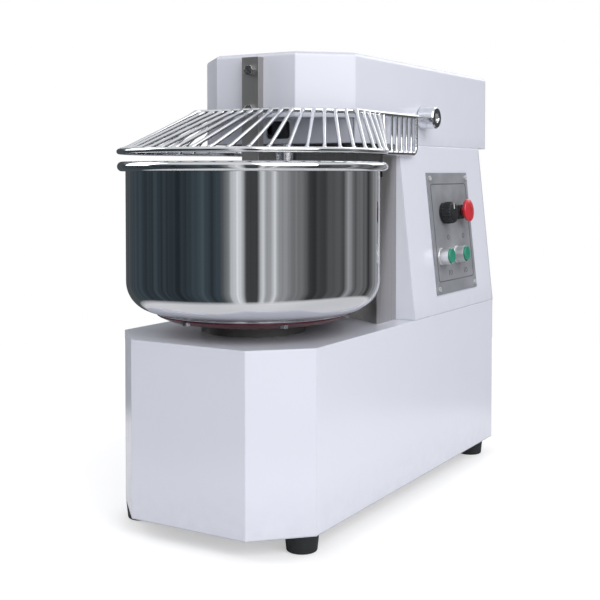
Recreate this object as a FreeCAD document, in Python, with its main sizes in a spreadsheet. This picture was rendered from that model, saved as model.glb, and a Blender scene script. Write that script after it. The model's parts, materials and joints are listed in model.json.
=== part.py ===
import FreeCAD, Part
import math
import os
import re
import Sketcher
from FreeCAD import Placement, Rotation, Vector

# Spiral dough mixer: a bowl and a spiral tool turned by one motor in the column.
# Millimetres, +Z up, origin on the floor under the middle of the machine, front towards -Y.

# Driving sizes
SIZES = {
    "sheet_gauge": 2.0,
    "run_clear": 0.05,
    "seat_clear": 0.3,
    "bowl_y": -187.5,
    "bowl_radius": 181.0,
    "bowl_gauge": 2.0,
    "bowl_corner": 42.0,
    "bowl_lift": 31.0,
    "bowl_depth": 203.5,
    "rim_radius": 6.8,
    "base_half": 159.5,
    "base_nose": 161.5,
    "base_bevel": 67.0,
    "base_low": 24.0,
    "base_rise": 245.0,
    "foot_radius": 23.0,
    "foot_taper": 2.5,
    "foot_inset": 26.0,
    "foot_setback": 73.0,
    "column_depth": 324.8,
    "column_rise": 268.5,
    "column_step": 1.0,
    "cover_edge": 14.0,
    "opening_edge": 28.0,
    "head_half": 129.5,
    "head_nose": 4.5,
    "head_overhang": 37.0,
    "head_bevel": 63.0,
    "head_depth": 128.0,
    "head_bend": 6.0,
    "lip_rise": 35.5,
    "plate_gauge": 6.0,
    "shield_inset": 3.0,
    "shield_gauge": 1.5,
    "shield_gap": 8.0,
    "shield_rim_gap": 11.0,
    "shield_back": 2.4,
    "shield_drop": 16.0,
    "apron_setback": 62.0,
    "window_half": 20.0,
    "window_rise": 7.5,
    "window_tall": 26.0,
    "window_corner": 5.0,
    "spiral_offset": 88.0,
    "spiral_shaft": 15.0,
    "spiral_reach": 57.0,
    "spiral_rod": 11.0,
    "spiral_hang": 29.0,
    "spiral_lift": 20.0,
    "hub_radius": 22.0,
    "hub_rise": 35.0,
    "hub_foot_half": 52.0,
    "hub_foot_back": 24.0,
    "hub_foot_gauge": 8.0,
    "hub_bolt_x": 38.0,
    "bar_half": 14.0,
    "bar_gauge": 13.0,
    "bar_lift": 26.0,
    "bar_drop": 6.5,
    "bar_bolt_drop": 25.0,
    "bar_bolt_rise": 11.5,
    "bolt_across": 13.0,
    "bolt_head": 5.3,
    "bolt_radius": 4.0,
    "screw_radius": 2.0,
    "drive_setback": 164.0,
    "drive_shaft": 12.5,
    "drive_bearing": 35.0,
    "drive_bearing_tall": 24.0,
    "belt_gauge": 6.0,
    "belt_width": 9.0,
    "groove_depth": 8.0,
    "groove_width": 10.0,
    "pulley_width": 20.0,
    "head_belt_rise": 52.0,
    "base_belt_rise": 101.0,
    "spiral_pulley": 48.0,
    "drive_pulley_high": 70.0,
    "bowl_pulley": 125.0,
    "drive_pulley_low": 26.0,
    "turntable_radius": 141.0,
    "turntable_gauge": 6.0,
    "ring_radius": 126.0,
    "ring_gauge": 6.0,
    "bowl_bolt_circle": 133.5,
    "bowl_bolt_across": 10.0,
    "bowl_bolt_radius": 3.0,
    "bowl_shaft": 20.0,
    "shaft_flange": 60.0,
    "flange_gauge": 6.0,
    "bearing_radius": 75.0,
    "bearing_sleeve": 34.0,
    "bearing_drop": 90.0,
    "bracket_half": 117.0,
    "bracket_rise": 35.0,
    "bracket_gauge": 6.0,
    "bracket_edge": 20.0,
    "reducer_half": 62.0,
    "reducer_tall": 65.0,
    "motor_radius": 54.0,
    "motor_flange": 60.0,
    "motor_flange_gauge": 8.0,
    "motor_tall": 110.0,
    "fan_radius": 57.0,
    "fan_tall": 30.0,
    "guard_margin": 9.0,
    "guard_gap": 20.5,
    "guard_top_rise": 44.0,
    "guard_clear": 10.5,
    "guard_swing": 19.5,
    "guard_corner_out": 13.5,
    "guard_corner_lead": 12.0,
    "guard_post_lead": 42.0,
    "guard_bend": 10.0,
    "rod_radius": 3.3,
    "wire_radius": 2.2,
    "pivot_setback": 82.0,
    "pivot_rise": 44.0,
    "pivot_radius": 7.0,
    "bushing_wall": 3.0,
    "collar_radius": 17.0,
    "collar_start_gap": 1.5,
    "collar_length": 27.0,
    "collar_bevel": 1.5,
    "cam_x": 86.0,
    "cam_gauge": 10.0,
    "cam_lobe": 11.0,
    "panel_shift": 8.6,
    "panel_rise": 127.5,
    "panel_half_wide": 83.0,
    "panel_half_high": 98.5,
    "panel_gauge": 2.0,
    "panel_rim": 14.0,
    "panel_screw_edge": 9.0,
    "knob_y": -31.0,
    "knob_v": 32.0,
    "knob_radius": 18.0,
    "knob_proud": 20.0,
    "stop_y": 31.0,
    "stop_v": 32.0,
    "stop_radius": 19.0,
    "stop_proud": 23.5,
    "start_front_y": -58.0,
    "start_rear_y": 5.0,
    "start_v": -38.0,
    "start_radius": 12.0,
    "start_proud": 21.5,
    "start_wall": 1.3,
    "stem_radius": 6.0,
    "stem_sunk": 8.0,
    "block_half": 10.0,
    "block_deep": 44.0,
}

# Sizes and places that follow from the driving ones
DERIVED = {
    "base_front": "bowl_y - base_nose",
    "base_high": "base_low + base_rise",
    "bowl_floor": "base_high + bowl_lift",
    "rim_level": "bowl_floor + bowl_depth",
    "rim_outside": "bowl_radius + 2 * rim_radius - bowl_gauge",
    "column_front": "bowl_y + rim_outside + shield_rim_gap + shield_back",
    "base_rear": "column_front + column_depth",
    "column_high": "base_high + column_rise",
    "column_half": "head_half + column_step",
    "head_front": "bowl_y + head_nose",
    "head_rear": "base_rear + head_overhang",
    "head_high": "column_high + head_depth",
    "lip_level": "column_high + lip_rise",
    "plate_top": "column_high + plate_gauge",
    "foot_x": "base_half - foot_inset",
    "foot_front": "base_front + foot_setback",
    "foot_rear": "base_rear - foot_setback / 1.8",
    "shield_half": "head_half - shield_inset",
    "shield_step": "rim_level - shield_drop",
    "apron_y": "head_front + apron_setback",
    "window_low": "column_high + window_rise",
    "window_high": "window_low + window_tall",
    "spiral_y": "bowl_y + spiral_offset",
    "spiral_top": "rim_level - spiral_hang",
    "spiral_end": "bowl_floor + spiral_lift",
    "hub_high": "plate_top + hub_rise",
    "bar_low": "bowl_floor + bar_lift",
    "bar_high": "head_high - bar_drop",
    "bar_bolt_high": "head_high - bar_bolt_drop",
    "bar_bolt_low": "lip_level + bar_bolt_rise",
    "drive_y": "column_front + drive_setback",
    "head_belt_level": "column_high + head_belt_rise",
    "base_belt_level": "base_low + base_belt_rise",
    "bearing_low": "base_high - bearing_drop",
    "bracket_top": "base_high + bracket_rise",
    "reducer_top": "bracket_top + reducer_tall",
    "motor_top": "reducer_top + motor_tall",
    "motor_y": "column_front + bracket_edge + motor_flange + 5 * seat_clear",
    "guard_radius": "bowl_radius + guard_margin",
    "guard_level": "rim_level + guard_gap",
    "guard_top": "column_high + guard_top_rise",
    "guard_side": "head_half + guard_clear",
    "guard_front": "head_front - bar_gauge - guard_swing",
    "guard_front_half": "head_half - head_bevel + guard_corner_out",
    "guard_corner_y": "head_front + head_bevel - guard_corner_lead",
    "guard_post_y": "pivot_y - guard_post_lead",
    "pivot_y": "column_front + pivot_setback",
    "pivot_level": "column_high + pivot_rise",
    "collar_start": "head_half + collar_start_gap",
    "collar_end": "collar_start + collar_length",
    "panel_y": "(column_front + base_rear) / 2 + panel_shift",
    "panel_level": "base_high + panel_rise",
    "bolt_hole": "bolt_radius + 0.67 * seat_clear",
    "screw_hole": "screw_radius + 0.67 * seat_clear",
    "bowl_bolt_hole": "bowl_bolt_radius + 0.67 * seat_clear",
}

# Counts and fixed angles
SPOKES_EACH_SIDE = 16
SPOKE_TURN = 7.75
SPOKE_PITCH = 16.3
POST_COUNT = 5
POST_PITCH = 17.0
BOWL_BOLTS = 6
BOWL_BOLT_TURN = -9.0
SPIRAL_TURNS = 1.3
SPIRAL_POINTS = 15

doc = FreeCAD.newDocument("dough_mixer")
sheet = doc.addObject("Spreadsheet::Sheet", "Sizes")
for row, (alias, number) in enumerate(SIZES.items(), start=1):
    sheet.set("A%d" % row, alias)
    sheet.set("B%d" % row, str(number))
    sheet.setAlias("B%d" % row, alias)
doc.recompute()

NODES = []
X_AXIS = Vector(1, 0, 0)
Y_AXIS = Vector(0, 1, 0)
Z_AXIS = Vector(0, 0, 1)
ALONG_X = Rotation(Y_AXIS, 90)
ALONG_Y = Rotation(X_AXIS, -90)
UPRIGHT = Rotation()


def bound(text):
    """An expression in plain size names, as the sheet knows them."""
    def spelled(word):
        name = word.group(0)
        return "(%s)" % bound(DERIVED[name]) if name in DERIVED else "Sizes." + name
    return re.sub(r"[a-z]\w+", spelled, str(text))


def size(text):
    """The number an expression gives now."""
    return float(sheet.evalExpression(bound(text)))


def bind(thing, **sizes):
    for name, text in sizes.items():
        thing.setExpression(name.replace("__", "."), bound(text))


def seat(thing, x, y, z, turn=UPRIGHT):
    """Put a thing at a place given by expressions."""
    thing.Placement = Placement(Vector(size(x), size(y), size(z)), turn)
    for letter, text in zip("xyz", (x, y, z)):
        thing.setExpression("Placement.Base." + letter, bound(text))
    return thing


def node(thing, label):
    thing.Label = label
    NODES.append(thing)
    return thing


def box(x_low, x_high, y_low, y_high, z_low, z_high):
    thing = doc.addObject("Part::Box", "box")
    bind(thing, Length="(%s) - (%s)" % (x_high, x_low), Width="(%s) - (%s)" % (y_high, y_low),
         Height="(%s) - (%s)" % (z_high, z_low))
    return seat(thing, x_low, y_low, z_low)


def rod(radius, length, x, y, z, turn=UPRIGHT):
    thing = doc.addObject("Part::Cylinder", "rod")
    bind(thing, Radius=radius, Height=length)
    return seat(thing, x, y, z, turn)


def cut(base, *tools):
    for tool in tools:
        thing = doc.addObject("Part::Cut", "cut")
        thing.Base = base
        thing.Tool = tool
        base = thing
    return base


def join(*pieces):
    thing = doc.addObject("Part::MultiFuse", "join")
    thing.Shapes = list(pieces)
    return thing


def plane_of(body, role):
    return [item for item in body.Origin.OriginFeatures if item.Role == role][0]


def sketch_of(body, role, points, circles, start):
    """A closed outline of straight stretches with round holes, every point held by the sheet."""
    sketch = body.newObject("Sketcher::SketchObject", "outline")
    sketch.AttachmentSupport = [(plane_of(body, role), "")]
    sketch.MapMode = "FlatFace"
    sketch.setExpression("AttachmentOffset.Base.z", bound(start))
    corners = [Vector(size(a), size(b), 0) for a, b in points]
    for index, corner in enumerate(corners):
        sketch.addGeometry(Part.LineSegment(corner, corners[(index + 1) % len(corners)]), False)
    for index in range(len(corners)):
        following = (index + 1) % len(corners)
        sketch.addConstraint(Sketcher.Constraint("Coincident", index, 2, following, 1))
    held = []
    for index, (a, b) in enumerate(points):
        for kind, number, text in (("DistanceX", corners[index].x, a), ("DistanceY", corners[index].y, b)):
            held.append((sketch.addConstraint(Sketcher.Constraint(kind, -1, 1, index, 1, number)), text))
    for a, b, radius in circles:
        centre = Vector(size(a), size(b), 0)
        place = sketch.addGeometry(Part.Circle(centre, Z_AXIS, size(radius)), False)
        held.append((sketch.addConstraint(Sketcher.Constraint("Radius", place, size(radius))), radius))
        for kind, number, text in (("DistanceX", centre.x, a), ("DistanceY", centre.y, b)):
            held.append((sketch.addConstraint(Sketcher.Constraint(kind, -1, 1, place, 3, number)), text))
    for index, text in held:
        sketch.setExpression("Constraints[%d]" % index, bound(text))
    return sketch


def prism(role, points, start, length, circles=()):
    """A plate or block: an outline on one of the main planes, padded."""
    body = doc.addObject("PartDesign::Body", "body")
    sketch = sketch_of(body, role, points, circles, start)
    pad = body.newObject("PartDesign::Pad", "pad")
    pad.Profile = sketch
    pad.setExpression("Length", bound(length))
    body.Tip = pad
    return body


def turned(points, x="0", y="0", z="0", turn=UPRIGHT):
    """A piece turned on the lathe: (radius, height) points spun about the upright axis."""
    body = doc.addObject("PartDesign::Body", "body")
    sketch = sketch_of(body, "XZ_Plane", points, (), "0")
    spin = body.newObject("PartDesign::Revolution", "spin")
    spin.Profile = sketch
    spin.ReferenceAxis = (sketch, ["V_Axis"])
    spin.Angle = 360
    body.Tip = spin
    return seat(body, x, y, z, turn)


def rounded(body, radius, wanted):
    """Round the edges of a body that the test picks out."""
    doc.recompute()
    sharp = body.Tip
    names = ["Edge%d" % (i + 1) for i, edge in enumerate(sharp.Shape.Edges) if wanted(edge)]
    fillet = body.newObject("PartDesign::Fillet", "bend")
    fillet.Base = (sharp, names)
    fillet.setExpression("Radius", bound(radius))
    body.Tip = fillet
    return body


def plain(label, shape):
    """A piece whose shape is worked out from the sheet."""
    thing = doc.addObject("Part::Feature", label)
    thing.Shape = shape
    return node(thing, label)


def between(start, end, radius):
    """A straight round rod from point to point."""
    way = end - start
    return Part.makeCylinder(radius, way.Length, start, way)


def hexagon(across, height):
    """A hexagon head standing on the XY plane."""
    reach = across / math.sqrt(3)
    corners = [Vector(reach * math.cos(math.radians(60 * i)), reach * math.sin(math.radians(60 * i)), 0)
               for i in range(7)]
    return Part.Face(Part.makePolygon(corners)).extrude(Vector(0, 0, height))


def hex_bolt(across, height, shank, length):
    """Head above the XY plane, shank below it."""
    return hexagon(across, height).fuse(Part.makeCylinder(shank, length, Vector(0, 0, -length)))


def pan_screw(head, height, shank, length):
    """A round screw head with a cross slot, shank below the XY plane."""
    body = Part.makeCylinder(head, height).fuse(Part.makeCylinder(shank, length, Vector(0, 0, -length)))
    slot = Part.makeBox(1.6 * head, 0.2 * head, height, Vector(-0.8 * head, -0.1 * head, 0.5 * height))
    body = body.cut(slot)
    return body.cut(slot.rotated(Vector(), Z_AXIS, 90))


def machine_bolt(shank):
    """A hexagon bolt of the machine's usual size."""
    return hex_bolt(size("bolt_across"), size("bolt_head"), size("bolt_radius"), size(shank))


def small_screw():
    """The screw that holds the cover and the panel."""
    return pan_screw(size("2 * screw_radius"), size("1.2 * screw_radius"), size("screw_radius"),
                     size("4 * screw_radius"))


def copies(shape, places):
    """The same piece at several placements, each one its own solid."""
    found = []
    for place in places:
        item = shape.copy()
        item.Placement = place
        found.append(item)
    return Part.makeCompound(found)


def beveled(half, front, rear, bevel, inset):
    """Plan outline with the two front corners cut off at 45 degrees, drawn in by an inset."""
    drawn = "(%s) * 0.41421356" % inset
    half_in = "%s - (%s)" % (half, inset)
    nose = "%s - (%s) - %s" % (half, bevel, drawn)
    face = "%s + (%s)" % (front, inset)
    turn = "%s + (%s) + %s" % (front, bevel, drawn)
    back = "%s - (%s)" % (rear, inset)
    return [("-(%s)" % nose, face), (nose, face), (half_in, turn), (half_in, back),
            ("-(%s)" % half_in, back), ("-(%s)" % half_in, turn)]


# Base: a folded sheet box with bevelled front corners, open below, a floor pan and four feet
base_outline = ("base_half", "base_front", "base_rear", "base_bevel")
base_solid = prism("XY_Plane", beveled(*base_outline, "0"), "base_low", "base_high - base_low")
base_inside = prism("XY_Plane", beveled(*base_outline, "sheet_gauge"), "base_low",
                    "base_high - base_low - sheet_gauge")
sleeve_hole = rod("bearing_sleeve + seat_clear", "4 * sheet_gauge", "0", "bowl_y",
                  "base_high - 3 * sheet_gauge")
drive_hole = box("opening_edge - column_half", "column_half - opening_edge",
                 "column_front + opening_edge", "base_rear - 2 * opening_edge", "base_high - 2 * sheet_gauge",
                 "base_high + sheet_gauge")
node(cut(base_solid, base_inside, sleeve_hole, drive_hole), "base_shell")

pan_inset = "sheet_gauge + seat_clear"
foot_places = [(side + "foot_x", row) for side in ("-", "") for row in ("foot_front", "foot_rear")]
node(prism("XY_Plane", beveled(*base_outline, pan_inset), "base_low", "sheet_gauge",
           [(x, y, "bolt_hole") for x, y in foot_places]), "base_floor_pan")
foot = Part.makeCone(size("foot_radius - foot_taper"), size("foot_radius"), size("base_low"))
foot = foot.makeFillet(size("foot_taper"), [edge for edge in foot.Edges if edge.BoundBox.ZMax < 1])
foot = foot.cut(Part.makeCylinder(size("bolt_hole"), size("base_low / 2"),
                                  Vector(0, 0, size("base_low / 2"))))
plain("rubber_feet", copies(foot, [Placement(Vector(size(x), size(y), 0), UPRIGHT) for x, y in foot_places]))
plain("foot_screws", copies(machine_bolt("base_low / 2"),
                            [Placement(Vector(size(x), size(y), size("base_low + sheet_gauge")), UPRIGHT)
                             for x, y in foot_places]))

# Column: folded sheet, sides leaning in towards the head, closed behind by a screwed cover
lean = "(base_half - column_half) / (column_high - base_high)"
COLUMN_LEAN = math.degrees(math.atan(size(lean)))


def column_outline(inset):
    """The column seen from the front, drawn in by an inset at the sides and the top."""
    top = "column_half + %s * (%s) - (%s)" % (lean, inset, inset)
    return [("-(base_half - (%s))" % inset, "base_high"), ("base_half - (%s)" % inset, "base_high"),
            (top, "column_high - (%s)" % inset), ("-(%s)" % top, "column_high - (%s)" % inset)]


COS_LEAN = math.cos(math.radians(COLUMN_LEAN))
SIN_LEAN = math.sin(math.radians(COLUMN_LEAN))
ON_PANEL = Rotation(Y_AXIS, -COLUMN_LEAN)
OUT_OF_PANEL = ON_PANEL.multiply(ALONG_X)
panel_x = "base_half - %s * (panel_level - base_high)" % lean


def panel_place(out, along, up):
    """Expressions for a point given out of, along and up the leaning right-hand column wall."""
    x = "%s + (%s) * %.9f - (%s) * %.9f" % (panel_x, out, COS_LEAN, up, SIN_LEAN)
    z = "panel_level + (%s) * %.9f + (%s) * %.9f" % (out, SIN_LEAN, up, COS_LEAN)
    return x, "panel_y + (%s)" % along, z


def panel_box(out_low, out_high, along_low, along_high, up_low, up_high):
    thing = box(out_low, out_high, along_low, along_high, up_low, up_high)
    return seat(thing, *panel_place(out_low, along_low, up_low), ON_PANEL)


cover_screw_spots = [(side, level) for side in (-1, 1) for level in (0.1, 0.5, 0.88)]


def cover_screw_place(side, level):
    """Across and height of a rear cover screw, following the leaning edge."""
    height = "base_high + %g * (column_high - base_high)" % level
    across = "%d * (base_half - %g * (base_half - column_half) - cover_edge)" % (side, level)
    return across, height


column_solid = prism("XZ_Plane", column_outline("0"), "-base_rear", "base_rear - column_front")
column_inside = prism("XZ_Plane", column_outline("sheet_gauge"), "sheet_gauge - base_rear",
                      "base_rear - column_front - 2 * sheet_gauge")
rear_opening = prism("XZ_Plane", column_outline("2 * cover_edge"), "-base_rear - sheet_gauge",
                     "4 * sheet_gauge")
top_opening = box("opening_edge - column_half", "column_half - opening_edge", "column_front + opening_edge",
                  "base_rear - opening_edge", "column_high - 3 * sheet_gauge",
                  "column_high + sheet_gauge")
panel_hole = panel_box("-panel_rim", "panel_rim", "panel_rim - panel_half_wide",
                       "panel_half_wide - panel_rim",
                       "panel_rim - panel_half_high", "panel_half_high - panel_rim")
panel_screw_spots = [(side + "(panel_half_wide - panel_screw_edge)",
                      row + "(panel_half_high - panel_screw_edge)")
                     for side in ("-", "") for row in ("-", "")]
panel_taps = [rod("screw_hole", "2 * panel_rim", *panel_place("-panel_rim", along, up), OUT_OF_PANEL)
              for along, up in panel_screw_spots]
cover_taps = [rod("screw_hole", "2 * cover_edge", x, "base_rear - cover_edge", z, ALONG_Y)
              for x, z in (cover_screw_place(*item) for item in cover_screw_spots)]
node(cut(column_solid, column_inside, rear_opening, top_opening, panel_hole, *panel_taps, *cover_taps),
     "column_shell")

node(prism("XZ_Plane", column_outline("0"), "-base_rear - sheet_gauge", "sheet_gauge",
           [cover_screw_place(*item) + ("screw_hole",) for item in cover_screw_spots]), "rear_cover")
plain("rear_cover_screws", copies(small_screw(), [
    Placement(Vector(size(x), size("base_rear + sheet_gauge"), size(z)), ALONG_Y)
    for x, z in (cover_screw_place(*item) for item in cover_screw_spots)]))

# Shield: a stainless skirt on the column front, hollowed to follow the bowl and set back at the rim
shield_front = "bowl_y + bowl_radius / 2"


def shield_block(inset, low, step, high):
    """The skirt as a block less the bowl's clearance cylinder, narrow below the step and set back above."""
    arc = "bowl_radius + shield_gap + %s" % inset
    rim_arc = "rim_outside + shield_rim_gap + %s" % inset
    lower = cut(box("-(shield_half - %s)" % inset, "shield_half - %s" % inset, shield_front,
                    "column_front", low, step),
                rod(arc, "column_high", "0", "bowl_y", "0"))
    upper = cut(box("-(shield_half - %s)" % inset, "shield_half - %s" % inset, shield_front,
                    "column_front", step, high),
                rod(rim_arc, "column_high + plate_gauge", "0", "bowl_y", "0"))
    return lower, upper


outer_lower, outer_upper = shield_block("0", "base_high", "shield_step", "column_high")
inner_lower, inner_upper = shield_block("shield_gauge", "base_high", "shield_step - shield_gauge",
                                        "column_high")
node(cut(join(outer_lower, outer_upper), inner_lower, inner_upper), "column_front_shield")

# Head: a folded hood over a thick plate that carries the bearings, and an apron under the lip
head_outline = ("head_half", "head_front", "head_rear", "head_bevel")
head_solid = prism("XY_Plane", beveled(*head_outline, "0"), "column_high", "head_high - column_high")
HEAD_TOP = size("head_high")
rounded(head_solid, "head_bend", lambda edge: edge.BoundBox.ZMin > HEAD_TOP - 0.1)
head_inside = prism("XY_Plane", beveled(*head_outline, "sheet_gauge"), "column_high - sheet_gauge",
                    "head_high - column_high")
head_mouth = box("-(head_half + sheet_gauge)", "head_half + sheet_gauge", "head_front - sheet_gauge",
                 "apron_y", "column_high - sheet_gauge", "lip_level")
pivot_holes = rod("pivot_radius + bushing_wall", "2 * collar_end", "-collar_end", "pivot_y",
                  "pivot_level", ALONG_X)
bar_holes = [rod("bolt_hole", "2 * bar_gauge", "0", "head_front - bar_gauge", level, ALONG_Y)
             for level in ("bar_bolt_low", "bar_bolt_high")]
node(cut(head_solid, head_inside, head_mouth, pivot_holes, *bar_holes), "head_shell")

plate_half = "head_half - sheet_gauge - seat_clear"
plate_nose = "head_half - head_bevel - 0.41421356 * sheet_gauge - seat_clear + apron_y - head_front"
plate_turn = "head_front + head_bevel + sheet_gauge"
plate_outline = [("-(%s)" % plate_nose, "apron_y + sheet_gauge"), (plate_nose, "apron_y + sheet_gauge"),
                 (plate_half, plate_turn), (plate_half, "head_rear - sheet_gauge - seat_clear"),
                 ("-(%s)" % plate_half, "head_rear - sheet_gauge - seat_clear"),
                 ("-(%s)" % plate_half, plate_turn)]
node(prism("XY_Plane", plate_outline, "column_high", "plate_gauge",
           [("0", "drive_y", "drive_shaft + 2 * sheet_gauge"),
            ("0", "spiral_y", "spiral_shaft + sheet_gauge")]), "head_base_plate")

# Apron: a folded strip under the lip that turns down in front of the plate, with a window at the tool hub
apron_nose = plate_nose + " - sheet_gauge"
lip_strip = prism("XY_Plane", [
    ("-(head_half - head_bevel - sheet_gauge)", "head_front + sheet_gauge + seat_clear"),
    ("head_half - head_bevel - sheet_gauge", "head_front + sheet_gauge + seat_clear"),
    (apron_nose, "apron_y"), ("-(%s)" % apron_nose, "apron_y")], "lip_level", "sheet_gauge")
apron_wall = box("-(%s)" % apron_nose, apron_nose, "apron_y", "apron_y + sheet_gauge",
                 "column_high", "lip_level + sheet_gauge")
window = prism("XZ_Plane", [("-window_half", "window_low"), ("window_half", "window_low"),
                            ("window_half", "window_high"), ("-window_half", "window_high")],
               "-apron_y - 5 * sheet_gauge", "10 * sheet_gauge")
rounded(window, "window_corner", lambda edge: abs(edge.tangentAt(edge.FirstParameter).y) > 0.99)
node(cut(join(lip_strip, apron_wall), window), "head_front_apron")

# Breaker bar: a flat bar bolted to the front of the head, standing in the middle of the bowl
bar = box("-bar_half", "bar_half", "head_front - bar_gauge", "head_front", "bar_low", "bar_high")
bar_taps = [rod("bolt_hole", "2 * bar_gauge", "0", "head_front - 1.5 * bar_gauge", level, ALONG_Y)
            for level in ("bar_bolt_low", "bar_bolt_high")]
node(cut(bar, *bar_taps), "breaker_bar")
FACING_FRONT = Rotation(X_AXIS, 90)
plain("breaker_bar_bolts", copies(machine_bolt("bar_gauge + 2.5 * sheet_gauge"), [
    Placement(Vector(0, size("head_front - bar_gauge"), size(level)), FACING_FRONT)
    for level in ("bar_bolt_low", "bar_bolt_high")]))

# Bowl: a spun dish with a rolled rim, bolted to a turntable on an upright shaft


def bowl_shape():
    """One spun sheet: floor, rounded corner, wall and a rim rolled outwards, turned about the axis."""
    wall = size("bowl_radius")
    gauge = size("bowl_gauge")
    corner = size("bowl_corner")
    floor = size("bowl_floor")
    rim = size("rim_radius")
    level = size("rim_level")
    inner = wall - gauge
    turn = floor + corner

    def at(radius, height):
        return Vector(radius, size("bowl_y"), height)

    def corner_arc(radius):
        low = at(wall - corner, turn - radius)
        middle = at(wall - corner + radius * math.sqrt(0.5), turn - radius * math.sqrt(0.5))
        return Part.Arc(low, middle, at(wall - corner + radius, turn)).toShape()

    roll_start = at(wall, level - math.sqrt(rim ** 2 - (rim - gauge) ** 2))
    roll = Part.Arc(roll_start, at(inner + 2 * rim, level), at(inner, level)).toShape()
    edges = [Part.makeLine(at(0, floor), at(wall - corner, floor)), corner_arc(corner),
             Part.makeLine(at(wall, turn), roll_start), roll, Part.makeLine(at(inner, level), at(inner, turn)),
             corner_arc(corner - gauge), Part.makeLine(at(wall - corner, floor + gauge), at(0, floor + gauge)),
             Part.makeLine(at(0, floor + gauge), at(0, floor))]
    return Part.Face(Part.Wire(edges)).revolve(at(0, 0), Z_AXIS, 360)


plain("bowl", bowl_shape())

bolt_turns = [math.radians(BOWL_BOLT_TURN + 360.0 / BOWL_BOLTS * i) for i in range(BOWL_BOLTS)]
turntable_holes = [("bowl_bolt_circle * %.9f" % math.sin(a),
                    "bowl_y - bowl_bolt_circle * %.9f" % math.cos(a), "bowl_bolt_hole")
                   for a in bolt_turns]


def round_plate(radius, low, gauge, holes):
    """A flat disc on the bowl's axis, with round holes."""
    disc = rod(radius, gauge, "0", "bowl_y", low)
    return cut(disc, *[rod(r, "3 * " + gauge, x, y, "%s - %s" % (low, gauge)) for x, y, r in holes])


node(round_plate("turntable_radius", "bowl_floor - turntable_gauge", "turntable_gauge", turntable_holes),
     "turntable")
ring_low = "bowl_floor - turntable_gauge - ring_gauge"
node(round_plate("ring_radius", ring_low, "ring_gauge", ()), "turntable_ring")
HEAD_DOWN = Rotation(X_AXIS, 180)
plain("bowl_bolts", copies(hex_bolt(size("bowl_bolt_across"), size("1.5 * bowl_bolt_radius"),
                                    size("bowl_bolt_radius"), size("turntable_gauge")), [
    Placement(Vector(size("bowl_bolt_circle") * math.sin(a),
                     size("bowl_y") - size("bowl_bolt_circle") * math.cos(a),
                     size("bowl_floor - turntable_gauge")), HEAD_DOWN) for a in bolt_turns]))

flange_low = ring_low + " - flange_gauge"
node(turned([("0", "base_belt_level - flange_gauge"), ("bowl_shaft", "base_belt_level - flange_gauge"),
             ("bowl_shaft", flange_low), ("shaft_flange", flange_low), ("shaft_flange", ring_low),
             ("0", ring_low)],
            "0", "bowl_y", "0"), "bowl_shaft")
bearing_top = flange_low + " - 3 * seat_clear"
node(turned([("bowl_shaft + run_clear", "bearing_low"), ("bearing_sleeve", "bearing_low"),
             ("bearing_sleeve", "base_high"),
             ("bearing_radius", "base_high"), ("bearing_radius", bearing_top),
             ("bowl_shaft + run_clear", bearing_top)], "0", "bowl_y", "0"), "bowl_bearing_housing")


# Drive: a motor and reducer in the column turn an upright shaft, belted to the bowl and to the tool
def pulley(label, radius, bore, y, low):
    """A grooved wheel on a shaft."""
    groove_low = "%s + (pulley_width - groove_width) / 2" % low
    groove_high = "%s + (pulley_width + groove_width) / 2" % low
    high = "%s + pulley_width" % low
    return node(turned([(bore, low), (radius, low), (radius, groove_low),
                        (radius + " - groove_depth", groove_low),
                        (radius + " - groove_depth", groove_high), (radius, groove_high),
                        (radius, high), (bore, high)],
                       "0", y, "0"), label)


pulley("bowl_pulley", "bowl_pulley", "bowl_shaft", "bowl_y", "base_belt_level")
pulley("lower_drive_pulley", "drive_pulley_low", "drive_shaft", "drive_y", "base_belt_level")
pulley("upper_drive_pulley", "drive_pulley_high", "drive_shaft", "drive_y", "head_belt_level")
pulley("spiral_pulley", "spiral_pulley", "spiral_shaft", "spiral_y", "head_belt_level")


def loop_block(y_one, radius_one, y_two, radius_two, low, height):
    """The space inside a taut loop round two circles: both discs and the flat part between the tangents."""
    reach = y_two - y_one
    slant = math.asin((radius_one - radius_two) / reach)
    touch = [Vector(side * r * math.cos(slant), y + r * math.sin(slant), low)
             for side, y, r in ((-1, y_one, radius_one), (1, y_one, radius_one), (1, y_two, radius_two),
                                (-1, y_two, radius_two))]
    web = Part.Face(Part.makePolygon(touch + touch[:1])).extrude(Vector(0, 0, height))
    discs = [Part.makeCylinder(r, height, Vector(0, y, low)) for y,
             r in ((y_one, radius_one), (y_two, radius_two))]
    return web.multiFuse(discs).removeSplitter()


def belt(label, y_one, pulley_one, y_two, pulley_two, level):
    low = size(level + " + (pulley_width - belt_width) / 2")
    inside = [size(name + " - groove_depth + seat_clear") for name in (pulley_one, pulley_two)]
    gauge = size("belt_gauge")
    width = size("belt_width")
    outer = loop_block(size(y_one), inside[0] + gauge, size(y_two), inside[1] + gauge, low, width)
    return plain(label, outer.cut(loop_block(size(y_one), inside[0], size(y_two), inside[1], low, width)))


belt("bowl_belt", "bowl_y", "bowl_pulley", "drive_y", "drive_pulley_low", "base_belt_level")
belt("spiral_belt", "spiral_y", "spiral_pulley", "drive_y", "drive_pulley_high", "head_belt_level")

node(rod("drive_shaft", "head_belt_level + 1.6 * pulley_width - base_low - 4 * sheet_gauge", "0", "drive_y",
         "base_low + 4 * sheet_gauge"), "drive_shaft")


def block_bearing(label, y, bore, radius, low, high):
    return node(turned([(bore + " + run_clear", low), (radius, low), (radius, high),
                        (bore + " + run_clear", high)],
                       "0", y, "0"), label)


block_bearing("lower_shaft_bearing", "drive_y", "drive_shaft", "drive_bearing", "base_low + sheet_gauge",
              "base_low + 2 * drive_bearing_tall")
block_bearing("upper_shaft_bearing", "drive_y", "drive_shaft", "drive_bearing", "plate_top",
              "plate_top + drive_bearing_tall")

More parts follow.
